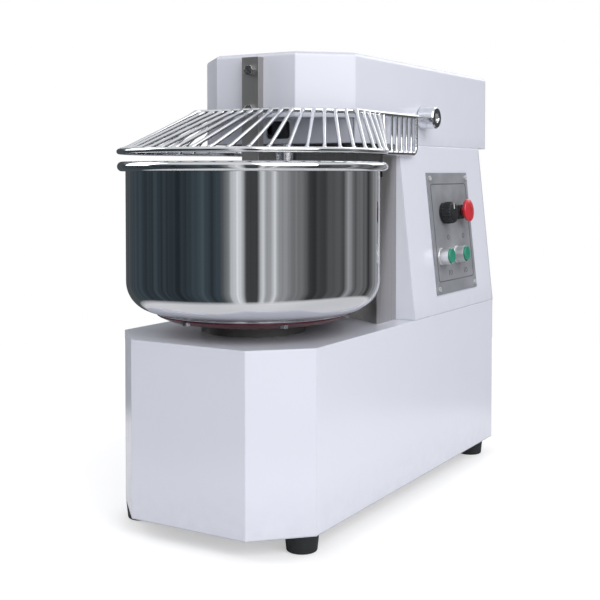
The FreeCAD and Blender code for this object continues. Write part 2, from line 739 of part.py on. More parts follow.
bracket_low = "bracket_top - bracket_gauge"
bracket_back = "drive_y + reducer_half + bracket_gauge"
legs = [box("%d * bracket_half - (%d) * bracket_gauge" % (side, side == 1),
            "%d * bracket_half + (%d) * bracket_gauge" % (side, side == -1),
            "column_front + bracket_edge", bracket_back, "base_high", bracket_low) for side in (-1, 1)]
deck = box("-bracket_half", "bracket_half", "column_front + bracket_edge", bracket_back, bracket_low,
           "bracket_top")
node(cut(join(deck, *legs), rod("drive_shaft + 2 * sheet_gauge", "3 * bracket_gauge", "0", "drive_y",
                                "bracket_top - 2 * bracket_gauge")), "reducer_bracket")
node(cut(box("-reducer_half", "reducer_half", "column_front + bracket_edge + 5 * seat_clear",
             "drive_y + reducer_half",
             "bracket_top", "reducer_top"),
         rod("drive_shaft + run_clear", "2 * reducer_tall", "0", "drive_y",
             "bracket_top - reducer_tall / 2")), "gear_reducer")
flange_top = "reducer_top + motor_flange_gauge"
node(turned([("0", "reducer_top"), ("motor_flange", "reducer_top"),
             ("motor_flange", flange_top),
             ("motor_radius", flange_top), ("motor_radius", "motor_top"), ("0", "motor_top")],
            "0", "motor_y", "0"), "motor_housing")
node(turned([("0", "motor_top"), ("fan_radius", "motor_top"), ("fan_radius", "motor_top + fan_tall"),
             ("0", "motor_top + fan_tall")], "0", "motor_y", "0"), "motor_fan_cover")

# Tool: a spiral rod hanging from a shaft that runs in a hub on the head plate
foot_top = "plate_top + hub_foot_gauge"
hub_face = "apron_y + sheet_gauge + seat_clear"
hub_foot = box("-hub_foot_half", "hub_foot_half", hub_face, "spiral_y + hub_foot_back", "plate_top", foot_top)
hub_wall = rod("hub_radius", "hub_rise", "0", "spiral_y", "plate_top")
hub_bore = rod("spiral_shaft + run_clear", "2 * hub_rise", "0", "spiral_y", "column_high")
hub_taps = [rod("bolt_hole", "hub_rise", "%d * hub_bolt_x" % side, "spiral_y + sheet_gauge",
                "column_high") for side in (-1, 1)]
hub_front = box("-2 * hub_radius", "2 * hub_radius", "apron_y - hub_radius", hub_face, "column_high",
                "2 * hub_high")
node(cut(join(hub_foot, hub_wall), hub_bore, hub_front, *hub_taps), "spiral_bearing_housing")
plain("spiral_bearing_bolts", copies(machine_bolt("hub_foot_gauge"), [
    Placement(Vector(size("hub_bolt_x") * side, size("spiral_y + sheet_gauge"), size(foot_top)),
              UPRIGHT) for side in (-1, 1)]))
node(rod("spiral_shaft", "head_belt_level + 1.6 * pulley_width - spiral_top", "0", "spiral_y",
         "spiral_top"), "spiral_shaft")


def spiral_path():
    """Points down the tool: out from the shaft to the full reach, then round and down to the bowl floor."""
    found = []
    for i in range(SPIRAL_POINTS):
        step = i / (SPIRAL_POINTS - 1)
        reach = size("spiral_reach") * math.sin(min(1.0, step * 2.6) * math.pi / 2)
        turn = 2 * math.pi * SPIRAL_TURNS * step
        level = size("spiral_top - 2") + (size("spiral_end") - size("spiral_top - 2")) * step
        found.append(Vector(reach * math.sin(turn), size("spiral_y") + reach * math.cos(turn), level))
    return found


path_points = spiral_path()
curve = Part.BSplineCurve()
curve.interpolate(path_points)
path = Part.Wire(curve.toShape())
start_way = curve.tangent(curve.FirstParameter)[0]
ring_wire = Part.Wire(Part.makeCircle(size("spiral_rod"), path_points[0], start_way))
tool = path.makePipeShell([ring_wire], True, True)
tip = Part.makeSphere(size("spiral_rod"), path_points[-1])
neck = Part.makeSphere(size("spiral_shaft - seat_clear"), path_points[0])
above = size("4 * spiral_shaft")
plain("spiral_hook", tool.multiFuse([tip, neck]).cut(
    Part.makeBox(above, above, above, Vector(-above / 2, size("spiral_y") - above / 2, size("spiral_top")))))

# Guard: one welded frame of round wire that swings up about a shaft through the head
GUARD_Y = size("bowl_y")
SIDE = size("guard_side")
TOP = size("guard_top")
LOW = size("guard_level")
THICK = size("rod_radius")
RING = size("guard_radius")
BEND = size("guard_bend")
POST_Y = size("guard_post_y")
arc_end = math.pi - math.asin(SIDE / RING)
pieces = []
ring = Part.makeCircle(RING, Vector(0, GUARD_Y, LOW), Z_AXIS, -90 - math.degrees(arc_end),
                       -90 + math.degrees(arc_end))
ring_start = ring.valueAt(ring.FirstParameter)
ring_face = Part.Wire(Part.makeCircle(THICK, ring_start, ring.tangentAt(ring.FirstParameter)))
pieces.append(Part.Wire(ring).makePipeShell([ring_face], True, True))
front_half = size("guard_front_half")
corner_y = size("guard_corner_y")
top_way = [Vector(0, size("guard_front"), TOP), Vector(front_half, size("guard_front"), TOP),
           Vector(SIDE, corner_y, TOP),
           Vector(SIDE, size("pivot_y - (pivot_radius + collar_radius) / 2"), TOP)]


def mirrored(point):
    return Vector(-point.x, point.y, point.z)


def along_top(distance):
    """The point this far along the top wire from the middle of the front."""
    for start, end in zip(top_way, top_way[1:]):
        way = end - start
        if distance <= way.Length:
            return start + way * (distance / way.Length)
        distance -= way.Length
    return top_way[-1]


def frame_half(flip):
    """One side of the guard: top wire, lower side wire, end post, wires and collar."""
    found = []
    put = mirrored if flip else (lambda point: point)
    for start, end in zip(top_way, top_way[1:]):
        found.append(between(put(start), put(end), THICK))
        found.append(Part.makeSphere(THICK, put(end)))
    low_start = Vector(SIDE, GUARD_Y - RING * math.cos(arc_end), LOW)
    low_end = Vector(SIDE, POST_Y - BEND, LOW)
    post_low = Vector(SIDE, POST_Y, LOW + BEND)
    found.append(Part.makeSphere(THICK, put(low_start)))
    found.append(between(put(low_start), put(low_end), THICK))
    middle = Vector(SIDE, POST_Y - BEND * (1 - math.sqrt(0.5)), LOW + BEND * (1 - math.sqrt(0.5)))
    corner = Part.Arc(put(low_end), put(middle), put(post_low)).toShape()
    corner_face = Part.Wire(Part.makeCircle(THICK, put(low_end), Y_AXIS))
    found.append(Part.Wire(corner).makePipeShell([corner_face], True, True))
    found.append(between(put(post_low), put(Vector(SIDE, POST_Y, TOP)), size("rod_radius - seat_clear / 2")))
    for index in range(1, SPOKES_EACH_SIDE + 1):
        turn = math.radians(SPOKE_TURN * index)
        foot_point = Vector(RING * math.sin(turn), GUARD_Y - RING * math.cos(turn), LOW)
        found.append(between(put(foot_point), put(along_top(SPOKE_PITCH * index)), size("wire_radius")))
    for index in range(1, POST_COUNT + 1):
        post = POST_Y - POST_PITCH * index
        found.append(between(put(Vector(SIDE, post, LOW)), put(Vector(SIDE, post, TOP)), size("wire_radius")))
    collar_length = size("collar_end - collar_start")
    collar_foot = Vector(size("collar_start") if not flip else -size("collar_end"), size("pivot_y"),
                         size("pivot_level"))
    collar = Part.makeCylinder(size("collar_radius"), collar_length, collar_foot, X_AXIS)
    outer = [edge for edge in collar.Edges if abs(abs(edge.CenterOfMass.x) - size("collar_end")) < 0.1]
    found.append(collar.makeChamfer(size("collar_bevel"), outer))
    return found


SCREW_X = size("(collar_start + collar_end) / 2")
pieces += frame_half(False) + frame_half(True)
pieces.append(between(Vector(0, GUARD_Y - RING, LOW), top_way[0], size("wire_radius")))
bore = Part.makeCylinder(size("pivot_radius"), size("4 * collar_end"),
                         Vector(size("-2 * collar_end"), size("pivot_y"), size("pivot_level")), X_AXIS)
screw_holes = [Part.makeCylinder(size("bowl_bolt_radius + run_clear"), size("2 * collar_radius"),
                                 Vector(side * SCREW_X, size("pivot_y"), size("pivot_level")),
                                 Vector(0, -1, 0)) for side in (-1, 1)]
guard = pieces[0].multiFuse(pieces[1:])
plain("guard_frame", guard.cut(bore).cut(screw_holes[0]).cut(screw_holes[1]))
plain("guard_set_screws", Part.makeCompound([
    Part.makeCylinder(size("bowl_bolt_radius"), size("collar_radius - pivot_radius - 4 * seat_clear"),
                      Vector(side * SCREW_X, size("pivot_y - pivot_radius"),
                             size("pivot_level")), Vector(0, -1, 0))
    for side in (-1, 1)]))
node(rod("pivot_radius", "2 * (collar_end - 2 * collar_bevel)", "2 * collar_bevel - collar_end",
         "pivot_y", "pivot_level", ALONG_X), "guard_pivot_shaft")
node(cut(rod("pivot_radius + cam_lobe", "cam_gauge", "cam_x", "pivot_y", "pivot_level", ALONG_X),
         rod("pivot_radius", "3 * cam_gauge", "cam_x - cam_gauge", "pivot_y", "pivot_level",
             ALONG_X)), "guard_cam")
switch_front = "pivot_y + pivot_radius + cam_lobe + 2 * sheet_gauge"
node(box("cam_x - 2 * sheet_gauge", "cam_x + cam_gauge + 2 * sheet_gauge", switch_front,
         switch_front + " + 3 * cam_lobe",
         "plate_top", "pivot_level + pivot_radius"), "guard_switch")


def bushing(side):
    """A flanged plain bearing in the head wall."""
    wall = "head_half - sheet_gauge"
    sleeve = rod("pivot_radius + bushing_wall - run_clear", "3 * sheet_gauge + seat_clear",
                 "%d * (%s - 2 * sheet_gauge)" % (side, wall), "pivot_y", "pivot_level",
                 Rotation(Y_AXIS, 90 * side))
    flange = rod("pivot_radius + 2 * bushing_wall", "2 * sheet_gauge",
                 "%d * (%s - 2 * sheet_gauge)" % (side, wall), "pivot_y", "pivot_level", Rotation(Y_AXIS, 90 * side))
    hole = rod("pivot_radius + run_clear", "10 * sheet_gauge",
               "%d * (%s - 5 * sheet_gauge)" % (side, wall), "pivot_y", "pivot_level",
               Rotation(Y_AXIS, 90 * side))
    return cut(join(sleeve, flange), hole)


pair = doc.addObject("Part::Compound", "pair")
pair.Links = [bushing(-1), bushing(1)]
node(pair, "guard_bushings")


# Controls on the leaning right-hand wall: plate, turning selector, stop button and two start buttons
def panel_turned(points, along, up):
    """A turned piece standing out of the panel, heights counted from the column wall."""
    return turned(points, *panel_place("0", along, up), OUT_OF_PANEL)


def ring_profile(bore, radius, low, high):
    return [(bore, low), (radius, low), (radius, high), (bore, high)]


CONTROLS = (("knob_y", "knob_v"), ("stop_y", "stop_v"), ("start_front_y", "start_v"),
            ("start_rear_y", "start_v"))
plate = panel_box("0", "panel_gauge", "-panel_half_wide", "panel_half_wide", "-panel_half_high",
                  "panel_half_high")
plate_holes = [rod("stem_radius + panel_gauge", "5 * panel_gauge",
                   *panel_place("-2 * panel_gauge", along, up), OUT_OF_PANEL) for along, up in CONTROLS]
plate_taps = [rod("screw_hole", "5 * panel_gauge", *panel_place("-2 * panel_gauge", along, up),
                  OUT_OF_PANEL) for along, up in panel_screw_spots]
node(cut(plate, *plate_holes, *plate_taps), "control_panel")
screw_places = [Placement(Vector(*[size(text) for text in panel_place("panel_gauge", along, up)]),
                          OUT_OF_PANEL)
                for along, up in panel_screw_spots]
plain("panel_screws", copies(small_screw(), screw_places))

face = "panel_gauge"
STEM_LOW = "-stem_sunk"
collars = doc.addObject("Part::Compound", "collars")
tube_end = face + " + 0.84 * start_proud"
flange_end = face + " + 0.14 * start_proud"
collars.Links = [panel_turned([("start_radius + seat_clear", face), ("start_radius + 2 * start_wall", face),
                               ("start_radius + 2 * start_wall",
                                flange_end), ("start_radius + start_wall", flange_end),
                               ("start_radius + start_wall", tube_end),
                               ("start_radius + seat_clear", tube_end)],
                              along, "start_v") for along in ("start_front_y", "start_rear_y")]
node(collars, "start_button_collars")
node(panel_turned(ring_profile("stem_radius + run_clear", "2 * stem_radius", face,
                               face + " + 0.34 * stop_proud"), "stop_y", "stop_v"),
     "stop_button_collar")


def switch_block(along, up):
    """The contact block behind one control, hollow for the stem."""
    block = panel_box("-block_deep", "0", along + " - block_half", along + " + block_half",
                      up + " - block_half", up + " + block_half")
    return cut(block, rod("stem_radius + panel_gauge", "1.7 * stem_sunk",
                          *panel_place("-1.7 * stem_sunk", along, up), OUT_OF_PANEL))


blocks = doc.addObject("Part::Compound", "blocks")
blocks.Links = [switch_block(along, up) for along, up in CONTROLS]
node(blocks, "switch_blocks")

under = face + " + 2 * seat_clear"
grip_low = face + " + 0.4 * knob_proud"
grip_top = face + " + 0.95 * knob_proud"
knob_top = face + " + knob_proud"
knob = panel_turned([("0", STEM_LOW), ("stem_radius", STEM_LOW), ("stem_radius", under),
                     ("knob_radius", under),
                     ("knob_radius", grip_low), ("0.9 * knob_radius", grip_low),
                     ("0.85 * knob_radius", grip_top),
                     ("0.78 * knob_radius", knob_top), ("0", knob_top)], "knob_y", "knob_v")
pointer = panel_box(grip_low, knob_top + " + 2 * seat_clear", "knob_y - knob_radius / 14",
                    "knob_y + knob_radius / 14",
                    "knob_v", "knob_v + 0.92 * knob_radius")
node(join(knob, pointer), "selector_knob")
neck_end = face + " + 0.58 * stop_proud"
dome_low = face + " + 0.76 * stop_proud"
dome_edge = face + " + 0.88 * stop_proud"
node(panel_turned([("0", STEM_LOW), ("stem_radius", STEM_LOW), ("stem_radius", neck_end),
                   ("0.63 * stop_radius", neck_end), ("stop_radius", dome_low), ("stop_radius", dome_edge),
                   ("0.8 * stop_radius", face + " + 0.96 * stop_proud"),
                   ("0.5 * stop_radius", face + " + stop_proud"),
                   ("0", face + " + 1.02 * stop_proud")], "stop_y", "stop_v"), "stop_button")
cap_low = face + " + 0.4 * start_proud"
cap_edge = face + " + 0.92 * start_proud"
cap_top = face + " + start_proud"
for label, along in (("start_button_front", "start_front_y"), ("start_button_rear", "start_rear_y")):
    node(panel_turned([("0", STEM_LOW), ("stem_radius", STEM_LOW), ("stem_radius", cap_low),
                       ("start_radius", cap_low),
                       ("start_radius", cap_edge), ("0.88 * start_radius", cap_top), ("0", cap_top)],
                      along, "start_v"), label)

# Write the pieces
doc.recompute()
for thing in doc.Objects:
    if "Invalid" in thing.State or "Error" in thing.State:
        raise RuntimeError("%s (%s): %s" % (thing.Name, thing.Label, thing.State))
os.makedirs("parts", exist_ok=True)
for thing in NODES:
    shape = thing.Shape
    if shape.isNull() or not shape.isValid():
        raise RuntimeError("%s has no valid shape" % thing.Label)
    shape.exportStep("parts/%s.step" % thing.Label)
    print(thing.Label, len(shape.Solids), round(shape.Volume), [round(v, 1) for v in (
        shape.BoundBox.XMin, shape.BoundBox.XMax, shape.BoundBox.YMin, shape.BoundBox.YMax,
        shape.BoundBox.ZMin, shape.BoundBox.ZMax)])
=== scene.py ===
import json
import math
import bmesh
import bpy
import numpy as np
from bpy.props import FloatProperty, FloatVectorProperty, PointerProperty
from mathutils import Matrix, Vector


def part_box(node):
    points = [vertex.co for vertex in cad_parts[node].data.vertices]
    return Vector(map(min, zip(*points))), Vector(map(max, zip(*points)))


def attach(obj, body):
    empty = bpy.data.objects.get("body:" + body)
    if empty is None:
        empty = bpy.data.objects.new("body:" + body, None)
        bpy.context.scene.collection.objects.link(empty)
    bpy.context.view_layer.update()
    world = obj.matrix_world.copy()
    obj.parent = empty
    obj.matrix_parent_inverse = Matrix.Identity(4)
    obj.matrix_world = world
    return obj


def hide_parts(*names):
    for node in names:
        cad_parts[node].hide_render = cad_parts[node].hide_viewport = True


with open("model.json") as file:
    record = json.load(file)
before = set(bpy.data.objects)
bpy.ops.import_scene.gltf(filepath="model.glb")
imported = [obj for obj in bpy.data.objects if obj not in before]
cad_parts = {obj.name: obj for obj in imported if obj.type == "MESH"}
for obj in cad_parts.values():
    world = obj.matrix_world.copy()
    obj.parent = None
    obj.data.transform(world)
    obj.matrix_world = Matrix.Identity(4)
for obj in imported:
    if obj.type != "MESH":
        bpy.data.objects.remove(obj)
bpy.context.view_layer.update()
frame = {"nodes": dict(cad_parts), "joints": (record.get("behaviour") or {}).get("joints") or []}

bl_info = {
    "name": "Spiral dough mixer",
    "version": (1, 0, 0),
    "blender": (4, 5, 0),
    "location": "View3D > Sidebar > Mixer",
    "description": "Dresses the packed mixer with finished surfaces and a studio stage",
    "category": "Object",
}

JOINTS = {joint["name"]: joint for joint in frame["joints"]}

# Directions of the shared frame: right as seen from the front, towards the back, and upwards
RIGHT = np.array([1.0, 0.0, 0.0])
BACK = np.array([0.0, 1.0, 0.0])
UP = np.array([0.0, 0.0, 1.0])
MIRROR = np.array([-1.0, 1.0, 1.0])

# Mesh clean-up: points this near are one, edges this short go, and edges this sharp stay sharp
SAME_POINT = 1e-6
SLIVER = 1e-7
SHARP_ANGLE = math.radians(35.0)

# Heights over which dust fades, from the lowest point of each painted shell
BASE_DUST = 0.07
COLUMN_DUST = 0.03
HEAD_DUST = 0.02

# Guard: degrees between bars round the ring, bars on each side, and upright bars at the rear
BAR_TURN = 7.75
BARS_EACH_SIDE = 16
POST_COUNT = 5

# Shares of a bar's length, and its thickness there, where 1 is the plain wire and the ends are welds
WELD_SHARE = np.array([0.0, 0.035, 0.06, 0.10, 0.5, 0.90, 0.94, 0.965, 1.0])
WELD_SWELL = np.array([1.55, 1.5, 1.25, 1.0, 1.0, 1.0, 1.25, 1.5, 1.55])

# Knob: rows of share of the radius, height over the plate or over the top, and share of the groove
KNOB_SKIRT = ((0.0, 0.0004, 0.0), (0.92, 0.0004, 0.0), (0.97, 0.0012, 0.0), (0.97, 0.0035, 0.0),
              (0.90, 0.0042, 0.0), (0.99, 0.0052, 0.3), (1.0, 0.0062, 1.0))
KNOB_CROWN = ((0.985, -0.0045, 1.0), (0.96, -0.0022, 0.8), (0.90, -0.0007, 0.3), (0.80, 0.0, 0.0),
              (0.30, -0.0004, 0.0), (0.0, -0.0004, 0.0))
KNOB_GROOVES = 20

# Shares of the knob's radius where its pointer starts, passes and ends
POINTER_SHARES = (0.30, 0.55, 0.80)

# Stop button: rows of radius and depth under its highest point, where the stem flares into the head
STOP_FLARE = ((0.0115, 0.0104), (0.0122, 0.0100), (0.0140, 0.0088))

# Button crowns: rows of share of the radius and depth under the highest point
STOP_CROWN = ((0.72, 0.0011), (0.5, 0.0004), (0.25, 0.0001), (0.0, 0.0))
START_CROWN = ((0.78, 0.0003), (0.5, 0.0008), (0.25, 0.0010), (0.0, 0.0011))

# Places of the plate's marks, back from the plate's middle and up from it; low ones also get a bar
MARK_PLACES = ((-0.029, -0.008), (0.034, -0.008), (-0.029, -0.066), (0.034, -0.066))
LOW_MARK = -0.05

# Lamps: name, place, width in metres and power in watts, all aimed at the same point
LAMPS = (("key", (3.45, -1.85, 2.6), 3.8, 136.0), ("fill", (-3.2, -0.7, 2.0), 2.4, 56.0),
         ("back", (0.6, 3.2, 2.4), 2.6, 30.0))
LAMP_AIM = (0.0, 0.0, 0.4)

# Bright and dark upright bands of the studio: share of a full turn, and brightness
STUDIO_BANDS = (
    (0.0, 0.06), (0.17, 0.045), (0.21, 0.075), (0.26, 0.06), (0.285, 0.25), (0.307, 1.1), (0.318, 0.45),
    (0.325, 0.06), (0.352, 0.06), (0.365, 0.8), (0.375, 0.35), (0.394, 0.65), (0.412, 0.28), (0.465, 0.18),
    (0.48, 0.06), (0.52, 0.05), (0.56, 0.13), (0.585, 0.10), (0.597, 0.34), (0.62, 0.17), (0.66, 0.15),
    (0.69, 0.05), (0.75, 0.36), (0.80, 0.12), (1.0, 0.06))
SLATE_END = 0.27
SLATE = (0.70, 0.95, 1.12)
NEUTRAL = (0.98, 1.0, 1.02)
CEILING = (0.85, 0.86, 0.88, 1.0)
SOFT_LIGHT = (0.43, 0.43, 0.44, 1.0)
WHITE = (1.0, 1.0, 1.0, 1.0)
FLOOR_TONE = (0.72, 0.72, 0.725)
FLOOR_RADIUS = 1.6

# Most of a noise texture's values lie between these two
NOISE_START = 0.3
NOISE_END = 0.7

# The Mix node's colour sockets, which share their names with its other sockets
FIRST_COLOUR = 6
SECOND_COLOUR = 7
MIXED_COLOUR = 2


# Sizes and colours that a user would change
def length(label, text, value):
    return FloatProperty(name=label, description=text, default=value, min=0.0, unit="LENGTH")


def colour(label, text, value):
    return FloatVectorProperty(name=label, description=text, default=value, min=0.0, max=1.0, size=3,
                               subtype="COLOR")


class MixerSizes(bpy.types.PropertyGroup):
    bowl_radius: length("Bowl radius", "Outside of the bowl's wall", 0.181)
    bowl_gauge: length("Bowl gauge", "Thickness of the bowl's sheet", 0.002)
    bowl_corner: length("Bowl corner", "Outside radius where the wall turns into the floor", 0.042)
    rim_radius: length("Rim radius", "Radius of the rolled rim", 0.0068)
    turntable_rim: length("Turntable rim", "Height of the turntable's bright rim", 0.0024)
    ring_radius: length("Guard ring radius", "Middle line of the guard's lower ring", 0.1896)
    guard_side: length("Guard side", "Distance of the guard's side wires from the middle", 0.140)
    guard_front: length("Guard front half", "Half length of the top wire's front run", 0.080)
    guard_bend: length("Guard bend", "Radius of the bend into the rear post", 0.010)
    head_nose: length("Head nose", "Distance of the head's front behind the bowl's axis", 0.0045)
    top_lead: length("Top wire lead", "Distance of the top wire's front run ahead of the head", 0.0325)
    top_corner: length("Top wire corner", "Distance of its rear corners behind the head's front", 0.051)
    top_bend: length("Top wire bend", "Radius of the top wire's corners", 0.012)
    post_lead: length("Post lead", "Distance of the rear posts ahead of the pivot", 0.042)
    rod_radius: length("Frame rod radius", "Radius of the guard's frame rods", 0.0037)
    wire_radius: length("Wire radius", "Radius of the guard's bars", 0.0026)
    spoke_pitch: length("Bar pitch", "Spacing of the bars along the top wire", 0.0163)
    post_pitch: length("Post pitch", "Spacing of the upright bars at the rear", 0.017)
    collar_radius: length("Collar radius", "Radius of the guard's pivot collars", 0.017)
    collar_start: length("Collar start", "Inner end of the collars, from the middle", 0.131)
    collar_end: length("Collar end", "Outer end of the collars, from the middle", 0.158)
    collar_bevel: length("Collar bevel", "Bevel on the collars' outer ends", 0.0018)
    pivot_radius: length("Pivot radius", "Radius of the guard's shaft", 0.007)
    plate_gauge: length("Plate gauge", "Thickness of the control plate", 0.002)
    knob_radius: length("Knob radius", "Radius of the selector knob", 0.018)
    knob_proud: length("Knob height", "Height of the selector knob over the plate", 0.020)
    knob_groove: length("Knob groove", "Depth of the grooves round the knob", 0.0014)
    stop_radius: length("Stop radius", "Radius of the stop button's head", 0.019)
    stop_stem: length("Stop stem", "Radius of the stop button's stem", 0.006)
    start_radius: length("Start radius", "Radius of the start buttons", 0.012)


class MixerColours(bpy.types.PropertyGroup):
    paint: colour("Paint", "Powder coat of base, column and head", (0.79, 0.81, 0.90))
    steel: colour("Stainless", "Bowl, turntable, guard, tool and shafts", (0.74, 0.75, 0.77))
    satin: colour("Satin steel", "Shield and bar", (0.50, 0.485, 0.475))
    bolt: colour("Bolt steel", "Bolts of the bar", (0.56, 0.55, 0.54))
    chrome: colour("Chrome", "Collars of the start buttons and the plate's screws", (0.92, 0.92, 0.93))
    zinc: colour("Zinc", "Plated bolts and screws", (0.62, 0.63, 0.66))
    casting: colour("Casting", "Dark cast pieces", (0.055, 0.057, 0.062))
    hub: colour("Hub", "Cast hub under the bowl", (0.13, 0.13, 0.128))
    iron: colour("Iron", "Plates and bearings inside", (0.11, 0.115, 0.12))
    motor: colour("Motor", "Cast motor housing", (0.30, 0.31, 0.33))
    ring: colour("Ring", "Painted ring under the turntable", (0.085, 0.012, 0.020))
    plate: colour("Panel", "Control plate", (0.262, 0.272, 0.298))
    # Panel line: this grey is a painted shadow line round the plate's inner panel, and also the print of the
    # marks
    line: colour("Panel line", "Line and marks on the control plate", (0.09, 0.093, 0.10))
    black: colour("Black plastic", "Knob and covers", (0.008, 0.010, 0.012))
    collar: colour("Stop collar", "Collar under the stop button", (0.02, 0.02, 0.022))
    pointer: colour("Pointer", "Pointer on the knob", (0.75, 0.75, 0.73))
    red: colour("Stop red", "Stop button", (0.62, 0.020, 0.034))
    green: colour("Start green", "Start buttons", (0.018, 0.26, 0.165))
    rubber: colour("Rubber", "Feet and belts", (0.010, 0.013, 0.015))


def sizes():
    return bpy.context.scene.mixer_sizes


def colours():
    return bpy.context.scene.mixer_colours


# Numpy surfaces
def unit(rows):
    """Each row at unit length."""
    return rows / np.linalg.norm(rows, axis=1)[:, None]


def arc(centre, radius, start, end, count):
    """Points on a circle round centre, from one angle in degrees to another."""
    turn = np.radians(np.linspace(start, end, count))
    return np.column_stack([centre[0] + radius * np.cos(turn), centre[1] + radius * np.sin(turn)])


def square_to(axis):
    """The axis at unit length, and two directions square to it and to each other."""
    nearly_along = 0.9
    axis = np.asarray(axis, float)
    axis = axis / np.linalg.norm(axis)
    helper = BACK if abs(axis[1]) < nearly_along else UP
    side = np.cross(helper, axis)
    side = side / np.linalg.norm(side)
    return axis, side, np.cross(axis, side)


def spun(profile, origin, axis, steps=96, wave=0.0, count=1):
    """A profile turned round an axis.

    It is origin + height * axis + radius * (side * cos turn + other * sin turn). The radius is that of the
    profile, less a wave of this depth and count where the profile's third column says so.
    """
    profile = np.asarray(profile, float)
    axis, side, other = square_to(axis)
    turn = np.linspace(0.0, 2.0 * np.pi, steps, endpoint=False)
    share = profile[:, 2] if profile.shape[1] > 2 else np.zeros(len(profile))
    radius = profile[:, :1] - wave * share[:, None] * (0.5 - 0.5 * np.cos(count * turn))
    around = np.cos(turn)[:, None] * side + np.sin(turn)[:, None] * other
    return np.asarray(origin) + profile[:, 1][:, None, None] * axis + radius[..., None] * around


def rings(way, up, sides):
    """Unit circles square to each step of a way: side * cos turn + top * sin turn.

    The side is square to the way and to the up direction, and the top is square to both.
    """
    way = unit(way)
    side = unit(np.cross(way, up))
    top = np.cross(side, way)
    turn = np.linspace(0.0, 2.0 * np.pi, sides, endpoint=False)
    return np.cos(turn)[None, :, None] * side[:, None] + np.sin(turn)[None, :, None] * top[:, None]


def tube(path, radius, up, sides):
    """A round bar along a path: path + radius * unit circle, with both ends closed to a point."""
    path = np.asarray(path, float)
    radius = np.broadcast_to(np.asarray(radius, float), (len(path),))
    around = rings(np.gradient(path, axis=0), up, sides)
    path = np.concatenate([path[:1], path, path[-1:]])
    around = np.concatenate([around[:1], around, around[-1:]])
    radius = np.concatenate([[0.0], radius, [0.0]])
    return path[:, None] + radius[:, None, None] * around


def closed_tube(path, radius, up, sides=8):
    """A round bar with no ends, path + radius * unit circle, on a path whose last point is its first."""
    path = np.asarray(path, float)[:-1]
    around = rings(np.roll(path, -1, axis=0) - np.roll(path, 1, axis=0), up, sides)
    grid = path[:, None] + radius * around
    return np.concatenate([grid, grid[:1]])


def rounded_way(corners, bend, count=9):
    """A path through corner points, with each inner corner turned on a curve of about this bend."""
    corners = np.asarray(corners, float)
    found = [corners[:1]]
    share = np.linspace(0.0, 1.0, count)[:, None]
    for before, here, after in zip(corners, corners[1:], corners[2:]):
        start = here + (before - here) * bend / np.linalg.norm(before - here)
        end = here + (after - here) * bend / np.linalg.norm(after - here)
        found.append((1 - share) ** 2 * start + 2 * share * (1 - share) * here + share ** 2 * end)
    found.append(corners[-1:])
    return np.concatenate(found)


def grid_faces(rows, columns, offset):
    """Quads of a grid that closes on itself across its columns."""
    row, column = np.meshgrid(np.arange(rows - 1), np.arange(columns), indexing="ij")
    beside = (column + 1) % columns
    corner = [row * columns + column, row * columns + beside, (row + 1) * columns + beside,
              (row + 1) * columns + column]
    return np.stack(corner, -1).reshape(-1, 4) + offset


def make(name, grids, body, slot, material, *nodes):
    """One object from surfaces, riding on a body; it stands for the named CAD nodes."""
    points = []
    faces = []
    along = []
    total = 0
    for grid in grids:
        rows, columns = grid.shape[:2]
        faces.append(grid_faces(rows, columns, total))
        points.append(grid.reshape(-1, 3))
        step = np.linalg.norm(np.diff(grid, axis=0), axis=2).max(axis=1)
        run = np.concatenate([[0.0], np.cumsum(step)])
        along.append(np.repeat(run, columns))
        total += rows * columns
    mesh = bpy.data.meshes.new(name)
    mesh.from_pydata(np.concatenate(points).tolist(), [], np.concatenate(faces).tolist())
    mesh.attributes.new("along", "FLOAT", "POINT").data.foreach_set("value", np.concatenate(along))
    work = bmesh.new()
    work.from_mesh(mesh)
    bmesh.ops.remove_doubles(work, verts=work.verts, dist=SAME_POINT)
    bmesh.ops.dissolve_degenerate(work, edges=work.edges, dist=SLIVER)
    bmesh.ops.recalc_face_normals(work, faces=work.faces)
    work.to_mesh(mesh)
    work.free()
    mesh.set_sharp_from_angle(angle=SHARP_ANGLE)
    mesh.materials.append(material)
    piece = bpy.data.objects.new(name, mesh)
    bpy.context.scene.collection.objects.link(piece)
    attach(piece, body)
    if nodes:
        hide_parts(*nodes)


def dress(material, *nodes):
    """Gives CAD nodes a material in place of their plain one."""
    for name in nodes:
        thing = frame["nodes"][name]
        thing.data.materials.clear()
        thing.data.materials.append(material)


# Materials
class Nodes:
    """A node tree, with a short call for each kind of node that is used more than once."""

    def __init__(self, tree):
        self.tree = tree

    def add(self, kind):
        return self.tree.nodes.new(kind)

    def feed(self, socket, value):
        """Sets a socket to a number or colour, or links another node's output to it."""
        if isinstance(value, bpy.types.NodeSocket):
            self.tree.links.new(value, socket)
        else:
            socket.default_value = value

    def combine(self, operation, *values):
        """One math node."""
        node = self.add("ShaderNodeMath")
        node.operation = operation
        for socket, value in zip(node.inputs, values):
            self.feed(socket, value)
        return node.outputs["Value"]

    def vectors(self, operation, *values):
        """One vector math node, whose result may be read as a number or as a vector."""
        node = self.add("ShaderNodeVectorMath")
        node.operation = operation
        for socket, value in zip(node.inputs, values):
            self.feed(socket, value)
        return node

    def between(self, value, low, high, start=NOISE_START, end=NOISE_END):
        """A value carried from the range start to end into the range low to high."""
        node = self.add("ShaderNodeMapRange")
        self.feed(node.inputs["Value"], value)
        self.feed(node.inputs["From Min"], start)
        self.feed(node.inputs["From Max"], end)
        self.feed(node.inputs["To Min"], low)
        self.feed(node.inputs["To Max"], high)
        return node.outputs["Result"]

    def mixed(self, factor, first, second):
        """Two colours blended by a factor."""
        node = self.add("ShaderNodeMix")
        node.data_type = "RGBA"
        self.feed(node.inputs["Factor"], factor)
        self.feed(node.inputs[FIRST_COLOUR], first)
        self.feed(node.inputs[SECOND_COLOUR], second)
        return node.outputs[MIXED_COLOUR]


